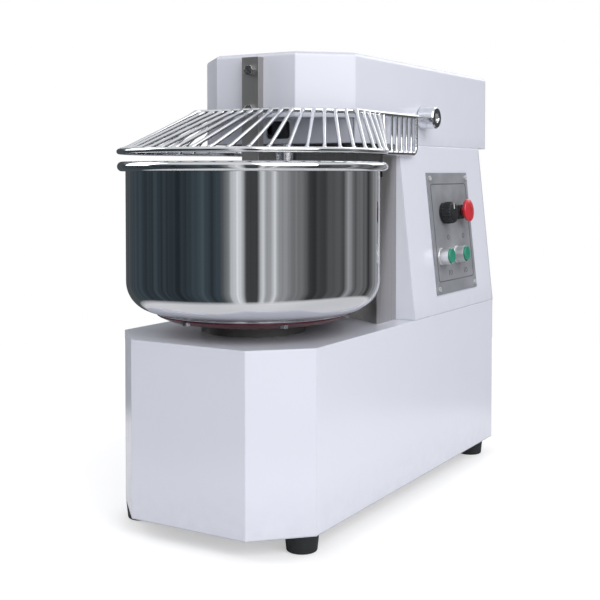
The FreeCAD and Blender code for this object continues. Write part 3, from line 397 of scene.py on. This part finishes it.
class Shade(Nodes):
    """One material's nodes, on the object's own coordinates."""

    def __init__(self, name, metallic=0.0, coat=0.0, specular=0.5):
        self.material = bpy.data.materials.new(name)
        self.material.use_nodes = True
        super().__init__(self.material.node_tree)
        self.sockets = self.tree.nodes["Principled BSDF"].inputs
        self.feed(self.sockets["Metallic"], metallic)
        self.feed(self.sockets["Coat Weight"], coat)
        self.feed(self.sockets["Coat Roughness"], 0.12)
        self.feed(self.sockets["Specular IOR Level"], specular)
        self.place = self.add("ShaderNodeTexCoord").outputs["Object"]

    def stretched(self, source, scale):
        """Coordinates scaled differently along each axis."""
        node = self.add("ShaderNodeMapping")
        self.feed(node.inputs["Vector"], source)
        self.feed(node.inputs["Scale"], scale)
        return node.outputs["Vector"]

    def along(self, scale):
        """Coordinates that change only along the surface's own profile, for turned or drawn marks."""
        node = self.add("ShaderNodeAttribute")
        node.attribute_name = "along"
        return self.stretched(node.outputs["Fac"], (scale, scale, scale))

    def noise(self, scale, detail, vector=None):
        node = self.add("ShaderNodeTexNoise")
        self.feed(node.inputs["Scale"], scale)
        self.feed(node.inputs["Detail"], detail)
        self.feed(node.inputs["Vector"], vector or self.place)
        return node.outputs["Fac"]

    def cells(self, scale):
        node = self.add("ShaderNodeTexVoronoi")
        self.feed(node.inputs["Scale"], scale)
        self.feed(node.inputs["Vector"], self.place)
        return node.outputs["Color"]

    def tint(self, value, tone, dark, light, start=NOISE_START, end=NOISE_END):
        """A colour that goes from dark * tone to light * tone as the value goes from start to end."""
        node = self.add("ShaderNodeValToRGB")
        for stop, position, times in zip(node.color_ramp.elements, (start, end), (dark, light)):
            stop.position = position
            stop.color = [min(1.0, part * times) for part in tone] + [1.0]
        self.feed(node.inputs["Fac"], value)
        return node.outputs["Color"]

    def paint(self, source):
        self.feed(self.sockets["Base Color"], source)

    def rough(self, value, span):
        """Roughness that follows a noise value over this span."""
        low, high = span
        self.feed(self.sockets["Roughness"], self.between(value, low, high))

    def rounded(self, radius, samples):
        """The surface's direction, turned near edges as if they were rounded to this radius."""
        node = self.add("ShaderNodeBevel")
        node.samples = samples
        self.feed(node.inputs["Radius"], radius)
        return node.outputs["Normal"]

    def bumps(self, height, strength, distance, rounding=0.0):
        """Bumps of this height, over edges that look rounded to this radius."""
        node = self.add("ShaderNodeBump")
        self.feed(node.inputs["Strength"], strength)
        self.feed(node.inputs["Distance"], distance)
        self.feed(node.inputs["Height"], height)
        if rounding:
            self.feed(node.inputs["Normal"], self.rounded(rounding, samples=6))
        self.feed(self.sockets["Normal"], node.outputs["Normal"])

    def worn_edges(self):
        """A factor that rises near an edge, broken up by noise.

        It is the distance between the rounded and the plain direction of the surface, times the noise.
        """
        plain = self.add("ShaderNodeNewGeometry").outputs["Normal"]
        turned = self.vectors("DISTANCE", self.rounded(0.0018, samples=4), plain).outputs["Value"]
        rising = self.between(turned, low=0.0, high=1.0, start=0.05, end=0.05 + 1.0 / 6.0)
        broken = self.between(self.noise(scale=90.0, detail=5.0), low=0.0, high=1.0, start=0.40, end=0.70)
        return self.combine("MULTIPLY", rising, broken)

    def height_fade(self, low, high):
        """One at the low height and nought at the high one."""
        node = self.add("ShaderNodeSeparateXYZ")
        self.feed(node.inputs["Vector"], self.place)
        return self.between(node.outputs["Z"], 1.0, 0.0, low, high)


def powder_coat(name, tone, low, high):
    """Gloss powder coat: faint cloudiness, orange peel, worn edges, and dust that fades from low to high."""
    shade = Shade(name, coat=0.25)
    base = shade.tint(shade.noise(scale=4.0, detail=4.0), tone, dark=0.985, light=1.010)
    dust = shade.tint(shade.noise(scale=60.0, detail=6.0), tone, dark=0.91, light=0.97)
    dusty = shade.mixed(shade.height_fade(low, high), base, dust)
    worn = shade.tint(shade.noise(scale=300.0, detail=2.0), tone, dark=0.80, light=0.92)
    shade.paint(shade.mixed(shade.worn_edges(), dusty, worn))
    shade.rough(shade.noise(scale=14.0, detail=5.0), (0.20, 0.27))
    shade.bumps(shade.noise(scale=420.0, detail=2.0), strength=0.04, distance=0.0002, rounding=0.0035)
    return shade.material


def brushed(name, tone, grain, rough, strength=0.08):
    """Stainless steel with a grain drawn out along its smallest scale, and cloudy rubbed patches."""
    shade = Shade(name, metallic=1.0)
    drawn = shade.noise(scale=1.0, detail=4.0, vector=shade.stretched(shade.place, grain))
    dull = shade.tint(drawn, tone, dark=0.82, light=1.0)
    bright = shade.tint(drawn, tone, dark=0.92, light=1.08)
    shade.paint(shade.mixed(shade.noise(scale=9.0, detail=4.0), dull, bright))
    shade.rough(drawn, rough)
    shade.bumps(drawn, strength, distance=0.0002, rounding=0.0008)
    return shade.material


def turned_steel(name, tone, marks, rough, strength):
    """Polished steel with fine marks round its own axis, and faint wiping marks."""
    shade = Shade(name, metallic=1.0)
    turned = shade.noise(scale=1.0, detail=3.0, vector=shade.along(marks))
    wipe = shade.noise(scale=16.0, detail=5.0)
    dull = shade.tint(turned, tone, dark=0.93, light=1.0)
    bright = shade.tint(turned, tone, dark=0.98, light=1.06)
    shade.paint(shade.mixed(wipe, dull, bright))
    shade.rough(wipe, rough)
    shade.bumps(turned, strength, distance=0.0001)
    return shade.material


def casting(name, tone, rough=(0.42, 0.62)):
    """Dark cast or machined iron: grainy, with lighter rubbed edges."""
    shade = Shade(name, metallic=0.6)
    grain = shade.noise(scale=260.0, detail=4.0)
    base = shade.tint(shade.noise(scale=22.0, detail=5.0), tone, dark=0.75, light=1.3)
    bare = shade.tint(grain, tone, dark=2.2, light=3.6)
    shade.paint(shade.mixed(shade.worn_edges(), base, bare))
    shade.rough(grain, rough)
    shade.bumps(grain, strength=0.15, distance=0.0005, rounding=0.0008)
    return shade.material


def zinc(name, tone):
    """Bright zinc plate with the patchy crystals of its finish."""
    shade = Shade(name, metallic=1.0)
    fine = shade.noise(scale=700.0, detail=3.0)
    shade.paint(shade.tint(shade.cells(scale=180.0), tone, dark=0.80, light=1.10, start=0.0, end=1.0))
    shade.rough(fine, (0.25, 0.42))
    shade.bumps(fine, strength=0.06, distance=0.0002, rounding=0.0006)
    return shade.material


def plastic(name, tone, rough, grain=900.0, coat=0.0):
    """Moulded plastic: fine moulded grain, faint colour drift and rubbed edges."""
    shade = Shade(name, coat=coat)
    drift = shade.noise(scale=35.0, detail=4.0)
    fine = shade.noise(grain, detail=3.0)
    base = shade.tint(drift, tone, dark=0.86, light=1.10)
    rubbed = shade.tint(fine, tone, dark=1.3, light=1.7)
    shade.paint(shade.mixed(shade.worn_edges(), base, rubbed))
    shade.rough(drift, rough)
    shade.bumps(fine, strength=0.06, distance=0.0003, rounding=0.0006)
    return shade.material


# Pieces
class MIXER_OT_shells(bpy.types.Operator):
    """Paint for the folded sheets of base, column and head"""
    bl_idname = "mixer.shells"
    bl_label = "Painted shells"

    def execute(self, context):
        tone = colours().paint
        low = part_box("base_shell")[0][2]
        dress(powder_coat("base_coat", tone, low, low + BASE_DUST), "base_shell")
        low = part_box("column_shell")[0][2]
        dress(powder_coat("column_coat", tone, low, low + COLUMN_DUST), "column_shell", "rear_cover")
        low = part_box("head_shell")[0][2]
        dress(powder_coat("head_coat", tone, low, low + HEAD_DUST), "head_shell")
        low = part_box("head_front_apron")[0][2]
        dress(powder_coat("apron_coat", tone, low, low + HEAD_DUST), "head_front_apron")
        return {"FINISHED"}


class MIXER_OT_steel(bpy.types.Operator):
    """Satin stainless for the shield, bar and tool"""
    bl_idname = "mixer.steel"
    bl_label = "Satin stainless"

    def execute(self, context):
        tones = colours()
        shield = brushed("shield_steel", tones.satin, grain=(900.0, 900.0, 5.0), rough=(0.26, 0.40))
        dress(shield, "column_front_shield")
        bar = brushed("bar_steel", tones.satin, grain=(3200.0, 3200.0, 8.0), rough=(0.36, 0.48),
                      strength=0.04)
        dress(bar, "breaker_bar")
        tool = brushed("tool_steel", tones.steel, grain=(60.0, 60.0, 700.0), rough=(0.16, 0.28),
                       strength=0.05)
        dress(tool, "spiral_hook", "spiral_shaft")
        return {"FINISHED"}


class MIXER_OT_bowl(bpy.types.Operator):
    """The bowl, a spun dish with a rolled rim"""
    bl_idname = "mixer.bowl"
    bl_label = "Bowl"

    def execute(self, context):
        own = sizes()
        low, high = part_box("bowl")
        axis = JOINTS["bowl_spin"]["pos_m"]
        wall = own.bowl_radius
        gauge = own.bowl_gauge
        corner = own.bowl_corner
        inner = wall - gauge
        floor = low[2]
        rim = (inner + own.rim_radius, high[2] - own.rim_radius)
        meet = math.degrees(math.acos((wall - rim[0]) / own.rim_radius))
        inmost = 0.02
        clear = 0.004
        flat = wall - corner - clear
        bent = floor + corner + clear
        outer_top = rim[1] - 3.0 * clear
        inner_top = rim[1] - 1.5 * clear
        turn = (wall - corner, floor + corner)
        profile = np.concatenate([
            [[0.0, floor]],
            np.linspace((inmost, floor), (flat, floor), 8),
            arc(turn, corner, -90.0, 0.0, 22),
            np.linspace((wall, bent), (wall, outer_top), 10),
            arc(rim, own.rim_radius, -meet, 180.0, 30),
            np.linspace((inner, inner_top), (inner, bent), 10),
            arc(turn, corner - gauge, 0.0, -90.0, 22),
            np.linspace((flat, floor + gauge), (inmost, floor + gauge), 8),
            [[0.0, floor + gauge]],
        ])
        surface = spun(profile, (axis[0], axis[1], 0.0), UP, steps=192)
        steel = turned_steel("bowl_steel", colours().steel, marks=2600.0, rough=(0.025, 0.06), strength=0.02)
        make("bowl_dish", [surface], "bowl", "polished_stainless", steel, "bowl")
        return {"FINISHED"}


class MIXER_OT_hub(bpy.types.Operator):
    """The turntable, its ring, the hub under it, and the bolts and screws"""
    bl_idname = "mixer.hub"
    bl_label = "Bowl hub"

    def execute(self, context):
        tones = colours()
        axis = JOINTS["bowl_spin"]["pos_m"]
        foot = (axis[0], axis[1], 0.0)
        low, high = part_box("turntable")
        wide = high[0]
        top = high[2]
        edge = 0.0008
        line = top - sizes().turntable_rim
        inset = wide - 0.004
        plate = [(0.0, line), (inset, line), (wide - edge, line), (wide, line + edge),
                 (wide, top - edge), (wide - edge, top), (inset, top), (0.0, top)]
        steel = turned_steel("turntable_steel", tones.steel, marks=900.0, rough=(0.10, 0.20), strength=0.03)
        disc = spun(plate, foot, UP, steps=128)
        make("turntable_plate", [disc], "bowl", "satin_stainless", steel, "turntable")
        below, ring_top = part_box("turntable_ring")
        narrow = ring_top[0]
        bottom = below[2]
        neck = wide - 0.005
        shoulder = wide - 0.003
        under = line - 0.0001
        skirt = [(0.0, bottom), (narrow - 0.002, bottom), (narrow, bottom + edge), (neck, low[2] - edge),
                 (shoulder, low[2] + edge), (shoulder, under), (0.0, under)]
        coat = powder_coat("ring_coat", tones.ring, low=0.0, high=0.01)
        ring = spun(skirt, foot, UP, steps=128)
        make("turntable_skirt", [ring], "bowl", "maroon_paint", coat, "turntable_ring")
        dress(casting("hub_casting", tones.hub), "bowl_bearing_housing")
        dress(casting("bearing_casting", tones.casting), "spiral_bearing_housing")
        even = (300.0, 300.0, 300.0)
        dress(brushed("bolt_steel", tones.bolt, even, rough=(0.20, 0.32), strength=0.03), "breaker_bar_bolts")
        dress(zinc("bolt_zinc", tones.zinc), "bowl_bolts", "foot_screws", "rear_cover_screws",
              "spiral_bearing_bolts", "guard_set_screws", "base_floor_pan")
        return {"FINISHED"}


class MIXER_OT_guard(bpy.types.Operator):
    """The wire guard: ring, top wire, bars, posts and pivot collars"""
    bl_idname = "mixer.guard"
    bl_label = "Wire guard"

    def execute(self, context):
        own = sizes()
        bowl_y = JOINTS["bowl_spin"]["pos_m"][1]
        pivot = JOINTS["guard_lift"]["pos_m"]
        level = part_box("guard_frame")[0][2] + own.rod_radius
        rise = pivot[2]
        head_y = bowl_y + own.head_nose
        front = head_y - own.top_lead
        corner_y = head_y + own.top_corner
        post_y = pivot[1] - own.post_lead
        end_y = pivot[1] - (own.pivot_radius + own.collar_radius) / 2.0
        half = [(own.guard_front, front, rise), (own.guard_side, corner_y, rise),
                (own.guard_side, end_y, rise)]
        top = [(-x, y, z) for x, y, z in half[::-1]] + half
        grids = [self.lower_rod(own, bowl_y, post_y, level, rise)]
        grids.append(tube(rounded_way(top, own.top_bend), own.rod_radius, UP, sides=20))
        grids += self.bars(own, bowl_y, post_y, level, np.array([(0.0, front, rise)] + half))
        grids += self.collars(own, pivot)
        steel = turned_steel("guard_steel", colours().steel, marks=900.0, rough=(0.06, 0.13), strength=0.02)
        make("guard_wires", grids, "guard", "polished_stainless", steel, "guard_frame")
        return {"FINISHED"}

    def on_ring(self, own, bowl_y, level, turn):
        """Points of the ring at turns from its front: radius * sin turn, axis - radius * cos turn, level."""
        return np.column_stack([own.ring_radius * np.sin(turn), bowl_y - own.ring_radius * np.cos(turn),
                                np.full(len(turn), level)])

    def lower_rod(self, own, bowl_y, post_y, level, rise):
        """One rod: down the left post, round the ring and up the right post, with a bend at each post."""
        sweep = math.pi - math.asin(own.guard_side / own.ring_radius)
        turn = np.linspace(-sweep, sweep, 161)
        ring = self.on_ring(own, bowl_y, level, turn)
        outward = np.column_stack([np.sin(turn), -np.cos(turn), np.zeros(len(turn))])
        bend = arc((post_y - own.guard_bend, level + own.guard_bend), own.guard_bend, -90.0, 0.0, 12)
        bend = np.concatenate([bend, [[post_y, rise]]])
        right = np.column_stack([np.full(len(bend), own.guard_side), bend])
        path = np.concatenate([right[::-1] * MIRROR, ring, right])
        sideways = np.tile(RIGHT, (len(bend), 1))
        facing = np.concatenate([-sideways, outward, sideways])
        return tube(path, own.rod_radius, facing, sides=20)

    def bars(self, own, bowl_y, post_y, level, top):
        """Bars from even turns on the ring to even steps along the top wire, and upright bars at the rear.

        Each bar is start + share * (end - start), thicker at its two welds, and has a twin on the left.
        """
        steps = np.concatenate([[0.0], np.cumsum(np.linalg.norm(np.diff(top, axis=0), axis=1))])
        index = np.arange(BARS_EACH_SIDE + 1)
        bottom = self.on_ring(own, bowl_y, level, np.radians(BAR_TURN * index))
        above = np.column_stack([np.interp(own.spoke_pitch * index, steps, part) for part in top.T])
        post = post_y - own.post_pitch * np.arange(1, POST_COUNT + 1)
        side = np.full(POST_COUNT, own.guard_side)
        post_foot = np.column_stack([side, post, np.full(POST_COUNT, level)])
        post_head = np.column_stack([side, post, np.full(POST_COUNT, top[0, 2])])
        thick = own.wire_radius * WELD_SWELL
        grids = []
        for start, end in zip(np.concatenate([bottom, post_foot]), np.concatenate([above, post_head])):
            way = start + WELD_SHARE[:, None] * (end - start)
            grids.append(tube(way, thick, RIGHT, sides=14))
            if start[0] > SAME_POINT:
                grids.append(tube(way * MIRROR, thick, RIGHT, sides=14))
        return grids

    def collars(self, own, pivot):
        """A bored collar at each end of the pivot, bevelled at its outer end."""
        start = own.collar_start
        end = own.collar_end
        edge = own.collar_bevel
        collar = own.collar_radius
        bore = own.pivot_radius
        inner_edge = 0.0005
        bore_edge = 0.0008
        clear = 0.002
        profile = np.concatenate([
            [(bore, start), (collar - inner_edge, start), (collar, start + inner_edge)],
            np.linspace((collar, start + 2.0 * clear), (collar, end - edge - clear), 6),
            [(collar, end - edge), (collar - edge, end)],
            [(bore + bore_edge, end), (bore, end - bore_edge), (bore, start)]])
        return [spun(profile, (0.0, pivot[1], pivot[2]), side * RIGHT, steps=64) for side in (-1.0, 1.0)]


class MIXER_OT_controls(bpy.types.Operator):
    """The control plate with its knob, stop button and start buttons"""
    bl_idname = "mixer.controls"
    bl_label = "Controls"

    def execute(self, context):
        own = sizes()
        tones = colours()
        out = np.array(JOINTS["selector_turn"]["axis"])
        up = np.array([-out[2], 0.0, out[0]])
        middle = np.array(JOINTS["selector_turn"]["pos_m"])
        dress(plastic("panel_plate", tones.plate, rough=(0.38, 0.52), grain=1400.0), "control_panel")
        dark = plastic("knob_black", tones.black, rough=(0.30, 0.48))
        self.knob(own, tones, middle, out, up, dark)
        self.stop(own, tones, out)
        self.starts(own, tones, out)
        self.plate_lines(tones, middle, out, up)
        dress(dark, "guard_bushings", "guard_switch", "switch_blocks", "motor_fan_cover")
        return {"FINISHED"}

    def knob(self, own, tones, middle, out, up, dark):
        """A grooved knob over a skirt, with a short pointer on its top."""
        r = own.knob_radius
        tall = own.plate_gauge + own.knob_proud
        profile = [(share * r, own.plate_gauge + height, groove) for share, height, groove in KNOB_SKIRT]
        profile += [(share * r, tall + height, groove) for share, height, groove in KNOB_CROWN]
        grip = spun(profile, middle, out, steps=240, wave=own.knob_groove, count=KNOB_GROOVES)
        make("knob_grip", [grip], "selector", "black_plastic", dark, "selector_knob")
        mark = plastic("knob_mark", tones.pointer, rough=(0.4, 0.5))
        proud = 0.0001
        pointer_radius = 0.0008
        top = middle + out * (tall + proud)
        way = [top + up * r * share for share in POINTER_SHARES]
        make("knob_pointer", [tube(way, pointer_radius, out, sides=10)], "selector", "black_plastic", mark)

    def middle(self, node, out):
        """Where a button's axis meets the wall's outer face."""
        low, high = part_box(node)
        centre = (np.array(low) + np.array(high)) / 2.0
        wall = np.array(JOINTS["selector_turn"]["pos_m"])
        return centre - out * np.dot(centre - wall, out)

    def reach(self, node, middle, out):
        """How far a node stands out of the wall along the panel's own direction."""
        points = np.empty(len(frame["nodes"][node].data.vertices) * 3, np.float32)
        frame["nodes"][node].data.vertices.foreach_get("co", points)
        return float(((points.reshape(-1, 3) - middle) @ out).max())

    def stop(self, own, tones, out):
        """Mushroom head: a stem that flares into a domed disc with a rolled edge."""
        middle = self.middle("stop_button", out)
        reach = self.reach("stop_button", middle, out)
        r = own.stop_radius
        stem = own.stop_stem
        sunk = -0.008
        flare = [(radius, reach - depth) for radius, depth in STOP_FLARE]
        lip = (r - 0.0012, reach - 0.0078)
        roll = 0.0030
        roll_middle = (r - roll, reach - 0.0048)
        profile = np.concatenate([
            [(0.0, sunk), (stem, sunk), (stem, flare[0][1])],
            flare,
            [lip],
            arc(roll_middle, roll, -55.0, 60.0, 12),
            [(share * r, reach - depth) for share, depth in STOP_CROWN]])
        red = plastic("stop_red", tones.red, rough=(0.24, 0.36), coat=0.3)
        make("stop_head", [spun(profile, middle, out, steps=96)], "stop", "red_plastic", red, "stop_button")
        dress(plastic("stop_collar", tones.collar, rough=(0.3, 0.45)), "stop_button_collar")

    def starts(self, own, tones, out):
        """Round caps, slightly dished, in bright tubes."""
        green = plastic("start_green", tones.green, rough=(0.26, 0.38), coat=0.25)
        r = own.start_radius
        tall = 0.0085
        edge = 0.0016
        foot_inset = 0.0004
        foot_rise = 0.0005
        for part in ("front", "rear"):
            node = "start_button_" + part
            middle = self.middle(node, out)
            reach = self.reach(node, middle, out)
            profile = np.concatenate([
                [(0.0, reach - tall), (r - foot_inset, reach - tall), (r, reach - tall + foot_rise)],
                arc((r - edge, reach - edge), edge, 0.0, 90.0, 8),
                [(share * r, reach - depth) for share, depth in START_CROWN]])
            cap = spun(profile, middle, out, steps=72)
            make("start_cap_" + part, [cap], "start_" + part, "green_plastic", green, node)
        coarse = (30.0, 30.0, 30.0)
        fine = (300.0, 300.0, 300.0)
        tubes = brushed("collar_chrome", tones.chrome, coarse, rough=(0.34, 0.46), strength=0.02)
        dress(tubes, "start_button_collars")
        dress(brushed("screw_steel", tones.chrome, fine, rough=(0.42, 0.58), strength=0.03), "panel_screws")

    def plate_lines(self, tones, knob, out, up):
        """A dark bead round the plate's middle, a painted shadow line, and plain printed marks under the
        controls.
        """
        low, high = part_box("control_panel")
        centre = (np.array(low) + np.array(high)) / 2.0
        centre = centre - out * np.dot(centre - knob, out)
        line_height = 0.0019
        shadow_line_radius = 0.0008
        shadow_line_bend = 0.006
        half = 0.0725
        high_end = 0.080
        low_end = -0.078
        face = centre + out * line_height
        corners = [(0.0, high_end), (half, high_end), (half, low_end), (-half, low_end), (-half, high_end),
                   (0.0, high_end)]
        loop = rounded_way([face + BACK * across + up * height for across, height in corners], shadow_line_bend)
        # The dark bead is painted shade, a shadow line where the inner panel steps; the marks share its grey
        # as print
        line = plastic("line_grey", tones.line, rough=(0.4, 0.55))
        make("panel_line", [closed_tube(loop, shadow_line_radius, out)], "frame", "grey_panel", line)
        circle_radius = 0.0036
        circle_shift = 0.009
        circle_line = 0.0006
        bar_half = 0.004
        bar_line = 0.0007
        turn = np.radians(np.linspace(0.0, 360.0, 33))
        circle = circle_radius * (np.cos(turn)[:, None] * BACK + np.sin(turn)[:, None] * up)
        circle = circle + BACK * circle_shift
        bar = up * bar_half
        marks = []
        for across, height in MARK_PLACES:
            spot = face + BACK * across + up * height
            if height < LOW_MARK:
                marks.append(tube([spot - bar, spot, spot + bar], bar_line, out, sides=8))
            marks.append(closed_tube(spot + circle, circle_line, out))
        make("panel_marks", marks, "frame", "grey_panel", line)


class MIXER_OT_inside(bpy.types.Operator):
    """The drive inside: pulleys, shafts, belts, motor and plates; and the rubber feet"""
    bl_idname = "mixer.inside"
    bl_label = "Drive and feet"

    def execute(self, context):
        tones = colours()
        rubber = plastic("rubber_black", tones.rubber, rough=(0.62, 0.80), grain=1600.0)
        dress(rubber, "rubber_feet", "bowl_belt", "spiral_belt")
        turned = brushed("shaft_steel", tones.steel, grain=(80.0, 80.0, 1200.0), rough=(0.22, 0.36))
        dress(turned, "bowl_shaft", "drive_shaft", "guard_pivot_shaft", "guard_cam", "bowl_pulley",
              "lower_drive_pulley", "upper_drive_pulley", "spiral_pulley")
        dress(casting("plate_iron", tones.iron), "head_base_plate", "reducer_bracket", "gear_reducer",
              "lower_shaft_bearing", "upper_shaft_bearing")
        dress(casting("motor_cast", tones.motor, rough=(0.35, 0.5)), "motor_housing")
        return {"FINISHED"}


class MIXER_OT_stage(bpy.types.Operator):
    """Floor, studio light, white surroundings and the camera"""
    bl_idname = "mixer.stage"
    bl_label = "Stage"

    def execute(self, context):
        scene = context.scene
        self.floor(scene)
        self.world(scene)
        for name, place, width, power in LAMPS:
            self.light(scene, name, place, width, power)
        camera = bpy.data.objects.new("photo_camera", bpy.data.cameras.new("photo_camera"))
        scene.collection.objects.link(camera)
        camera.location = (0.8525, -1.4817, 0.4951)
        camera.rotation_euler = (math.radians(88.0), 0.0, math.radians(30.91))
        camera.data.sensor_width = 36.0
        camera.data.lens = 64.884
        camera.data.shift_y = -0.1495
        scene.camera = camera
        scene.view_settings.view_transform = "Standard"
        return {"FINISHED"}

    def floor(self, scene):
        """A round pale floor that keeps the shadow and fades into the white surroundings.

        Its glow grows with distance, in full for the camera and faintly for reflections. To reflections its
        outer part is clear, so that they show the studio there.
        """
        mesh = bpy.data.meshes.new("floor")
        corners = 96
        edge = arc((0.0, 0.0), FLOOR_RADIUS, 0.0, 360.0, corners + 1)[:-1]
        mesh.from_pydata([(x, y, 0.0) for x, y in edge.tolist()], [], [list(range(corners))])
        floor = bpy.data.objects.new("floor", mesh)
        scene.collection.objects.link(floor)
        shade = Shade("floor_white", specular=0.1)
        shade.paint(shade.tint(shade.noise(scale=3.0, detail=3.0), FLOOR_TONE, dark=0.99, light=1.0))
        shade.feed(shade.sockets["Roughness"], 0.6)
        shade.feed(shade.sockets["Emission Color"], WHITE)
        far = shade.vectors("LENGTH", shade.place).outputs["Value"]
        rays = shade.add("ShaderNodeLightPath").outputs
        seen = shade.combine("MULTIPLY_ADD", rays["Is Glossy Ray"], 0.12, rays["Is Camera Ray"])
        glow = shade.between(far, low=0.42, high=1.0, start=0.45, end=1.4)
        shade.feed(shade.sockets["Emission Strength"], shade.combine("MULTIPLY", seen, glow))
        clear = shade.between(far, low=0.0, high=-1.0, start=0.62, end=0.78)
        solid = shade.combine("MULTIPLY_ADD", rays["Is Glossy Ray"], clear, 1.0)
        shade.feed(shade.sockets["Alpha"], solid)
        mesh.materials.append(shade.material)

    def world(self, scene):
        """White to the camera, soft light to plain surfaces, and bright and dark bands to reflections."""
        world = bpy.data.worlds.new("studio")
        scene.world = world
        world.use_nodes = True
        world.node_tree.nodes.clear()
        sky = Nodes(world.node_tree)
        parts = sky.add("ShaderNodeSeparateXYZ")
        sky.feed(parts.inputs["Vector"], sky.add("ShaderNodeTexCoord").outputs["Generated"])
        turn = sky.combine("ARCTAN2", parts.outputs["Y"], parts.outputs["X"])
        bands = sky.add("ShaderNodeValToRGB")
        sky.feed(bands.inputs["Fac"], sky.between(turn, low=0.0, high=1.0, start=-math.pi, end=math.pi))
        stops = bands.color_ramp.elements
        while len(stops) < len(STUDIO_BANDS):
            stops.new(0.5)
        for stop, (position, level) in zip(stops, STUDIO_BANDS):
            stop.position = position
            tint = SLATE if position < SLATE_END or position == 1.0 else NEUTRAL
            stop.color = [level * part for part in tint] + [1.0]
        streaks = sky.add("ShaderNodeTexNoise")
        streaks.noise_dimensions = "1D"
        sky.feed(streaks.inputs["Scale"], 7.0)
        sky.feed(streaks.inputs["Detail"], 4.0)
        sky.feed(streaks.inputs["W"], turn)
        varied = sky.vectors("SCALE", bands.outputs["Color"])
        sky.feed(varied.inputs["Scale"], sky.between(streaks.outputs["Fac"], low=0.6, high=1.4))
        above = sky.between(parts.outputs["Z"], low=0.0, high=1.0, start=0.25, end=0.60)
        studio = sky.mixed(above, varied.outputs["Vector"], CEILING)
        rays = sky.add("ShaderNodeLightPath").outputs
        around = sky.add("ShaderNodeBackground")
        sky.feed(around.inputs["Color"], sky.mixed(rays["Is Glossy Ray"], SOFT_LIGHT, studio))
        white = sky.add("ShaderNodeBackground")
        sky.feed(white.inputs["Color"], WHITE)
        choice = sky.add("ShaderNodeMixShader")
        sky.feed(choice.inputs["Fac"], rays["Is Camera Ray"])
        sky.feed(choice.inputs[1], around.outputs["Background"])
        sky.feed(choice.inputs[2], white.outputs["Background"])
        output = sky.add("ShaderNodeOutputWorld")
        sky.feed(output.inputs["Surface"], choice.outputs["Shader"])

    def light(self, scene, name, place, width, power):
        """A square lamp that points from its place to the point all lamps are aimed at."""
        data = bpy.data.lights.new(name, "AREA")
        data.size = width
        data.energy = power
        lamp = bpy.data.objects.new(name, data)
        lamp.location = place
        lamp.rotation_euler = (Vector(LAMP_AIM) - Vector(place)).to_track_quat("-Z", "Y").to_euler()
        scene.collection.objects.link(lamp)


class MIXER_PT_panel(bpy.types.Panel):
    """Lists the pieces and their sizes and colours"""
    bl_idname = "MIXER_PT_panel"
    bl_label = "Spiral dough mixer"
    bl_space_type = "VIEW_3D"
    bl_region_type = "UI"
    bl_category = "Mixer"

    def draw(self, context):
        for operator in OPERATORS:
            self.layout.operator(operator.bl_idname)
        for group in (context.scene.mixer_sizes, context.scene.mixer_colours):
            for name in group.__annotations__:
                self.layout.prop(group, name)


OPERATORS = (MIXER_OT_shells, MIXER_OT_steel, MIXER_OT_bowl, MIXER_OT_hub, MIXER_OT_guard,
             MIXER_OT_controls, MIXER_OT_inside, MIXER_OT_stage)
CLASSES = (MixerSizes, MixerColours) + OPERATORS + (MIXER_PT_panel,)


def register():
    for kind in CLASSES:
        bpy.utils.register_class(kind)
    bpy.types.Scene.mixer_sizes = PointerProperty(type=MixerSizes)
    bpy.types.Scene.mixer_colours = PointerProperty(type=MixerColours)


def unregister():
    del bpy.types.Scene.mixer_colours
    del bpy.types.Scene.mixer_sizes
    for kind in reversed(CLASSES):
        bpy.utils.unregister_class(kind)


def main():
    register()
    bpy.ops.mixer.shells()
    bpy.ops.mixer.steel()
    bpy.ops.mixer.bowl()
    bpy.ops.mixer.hub()
    bpy.ops.mixer.guard()
    bpy.ops.mixer.controls()
    bpy.ops.mixer.inside()
    bpy.ops.mixer.stage()


if __name__ == "__main__":
    main()
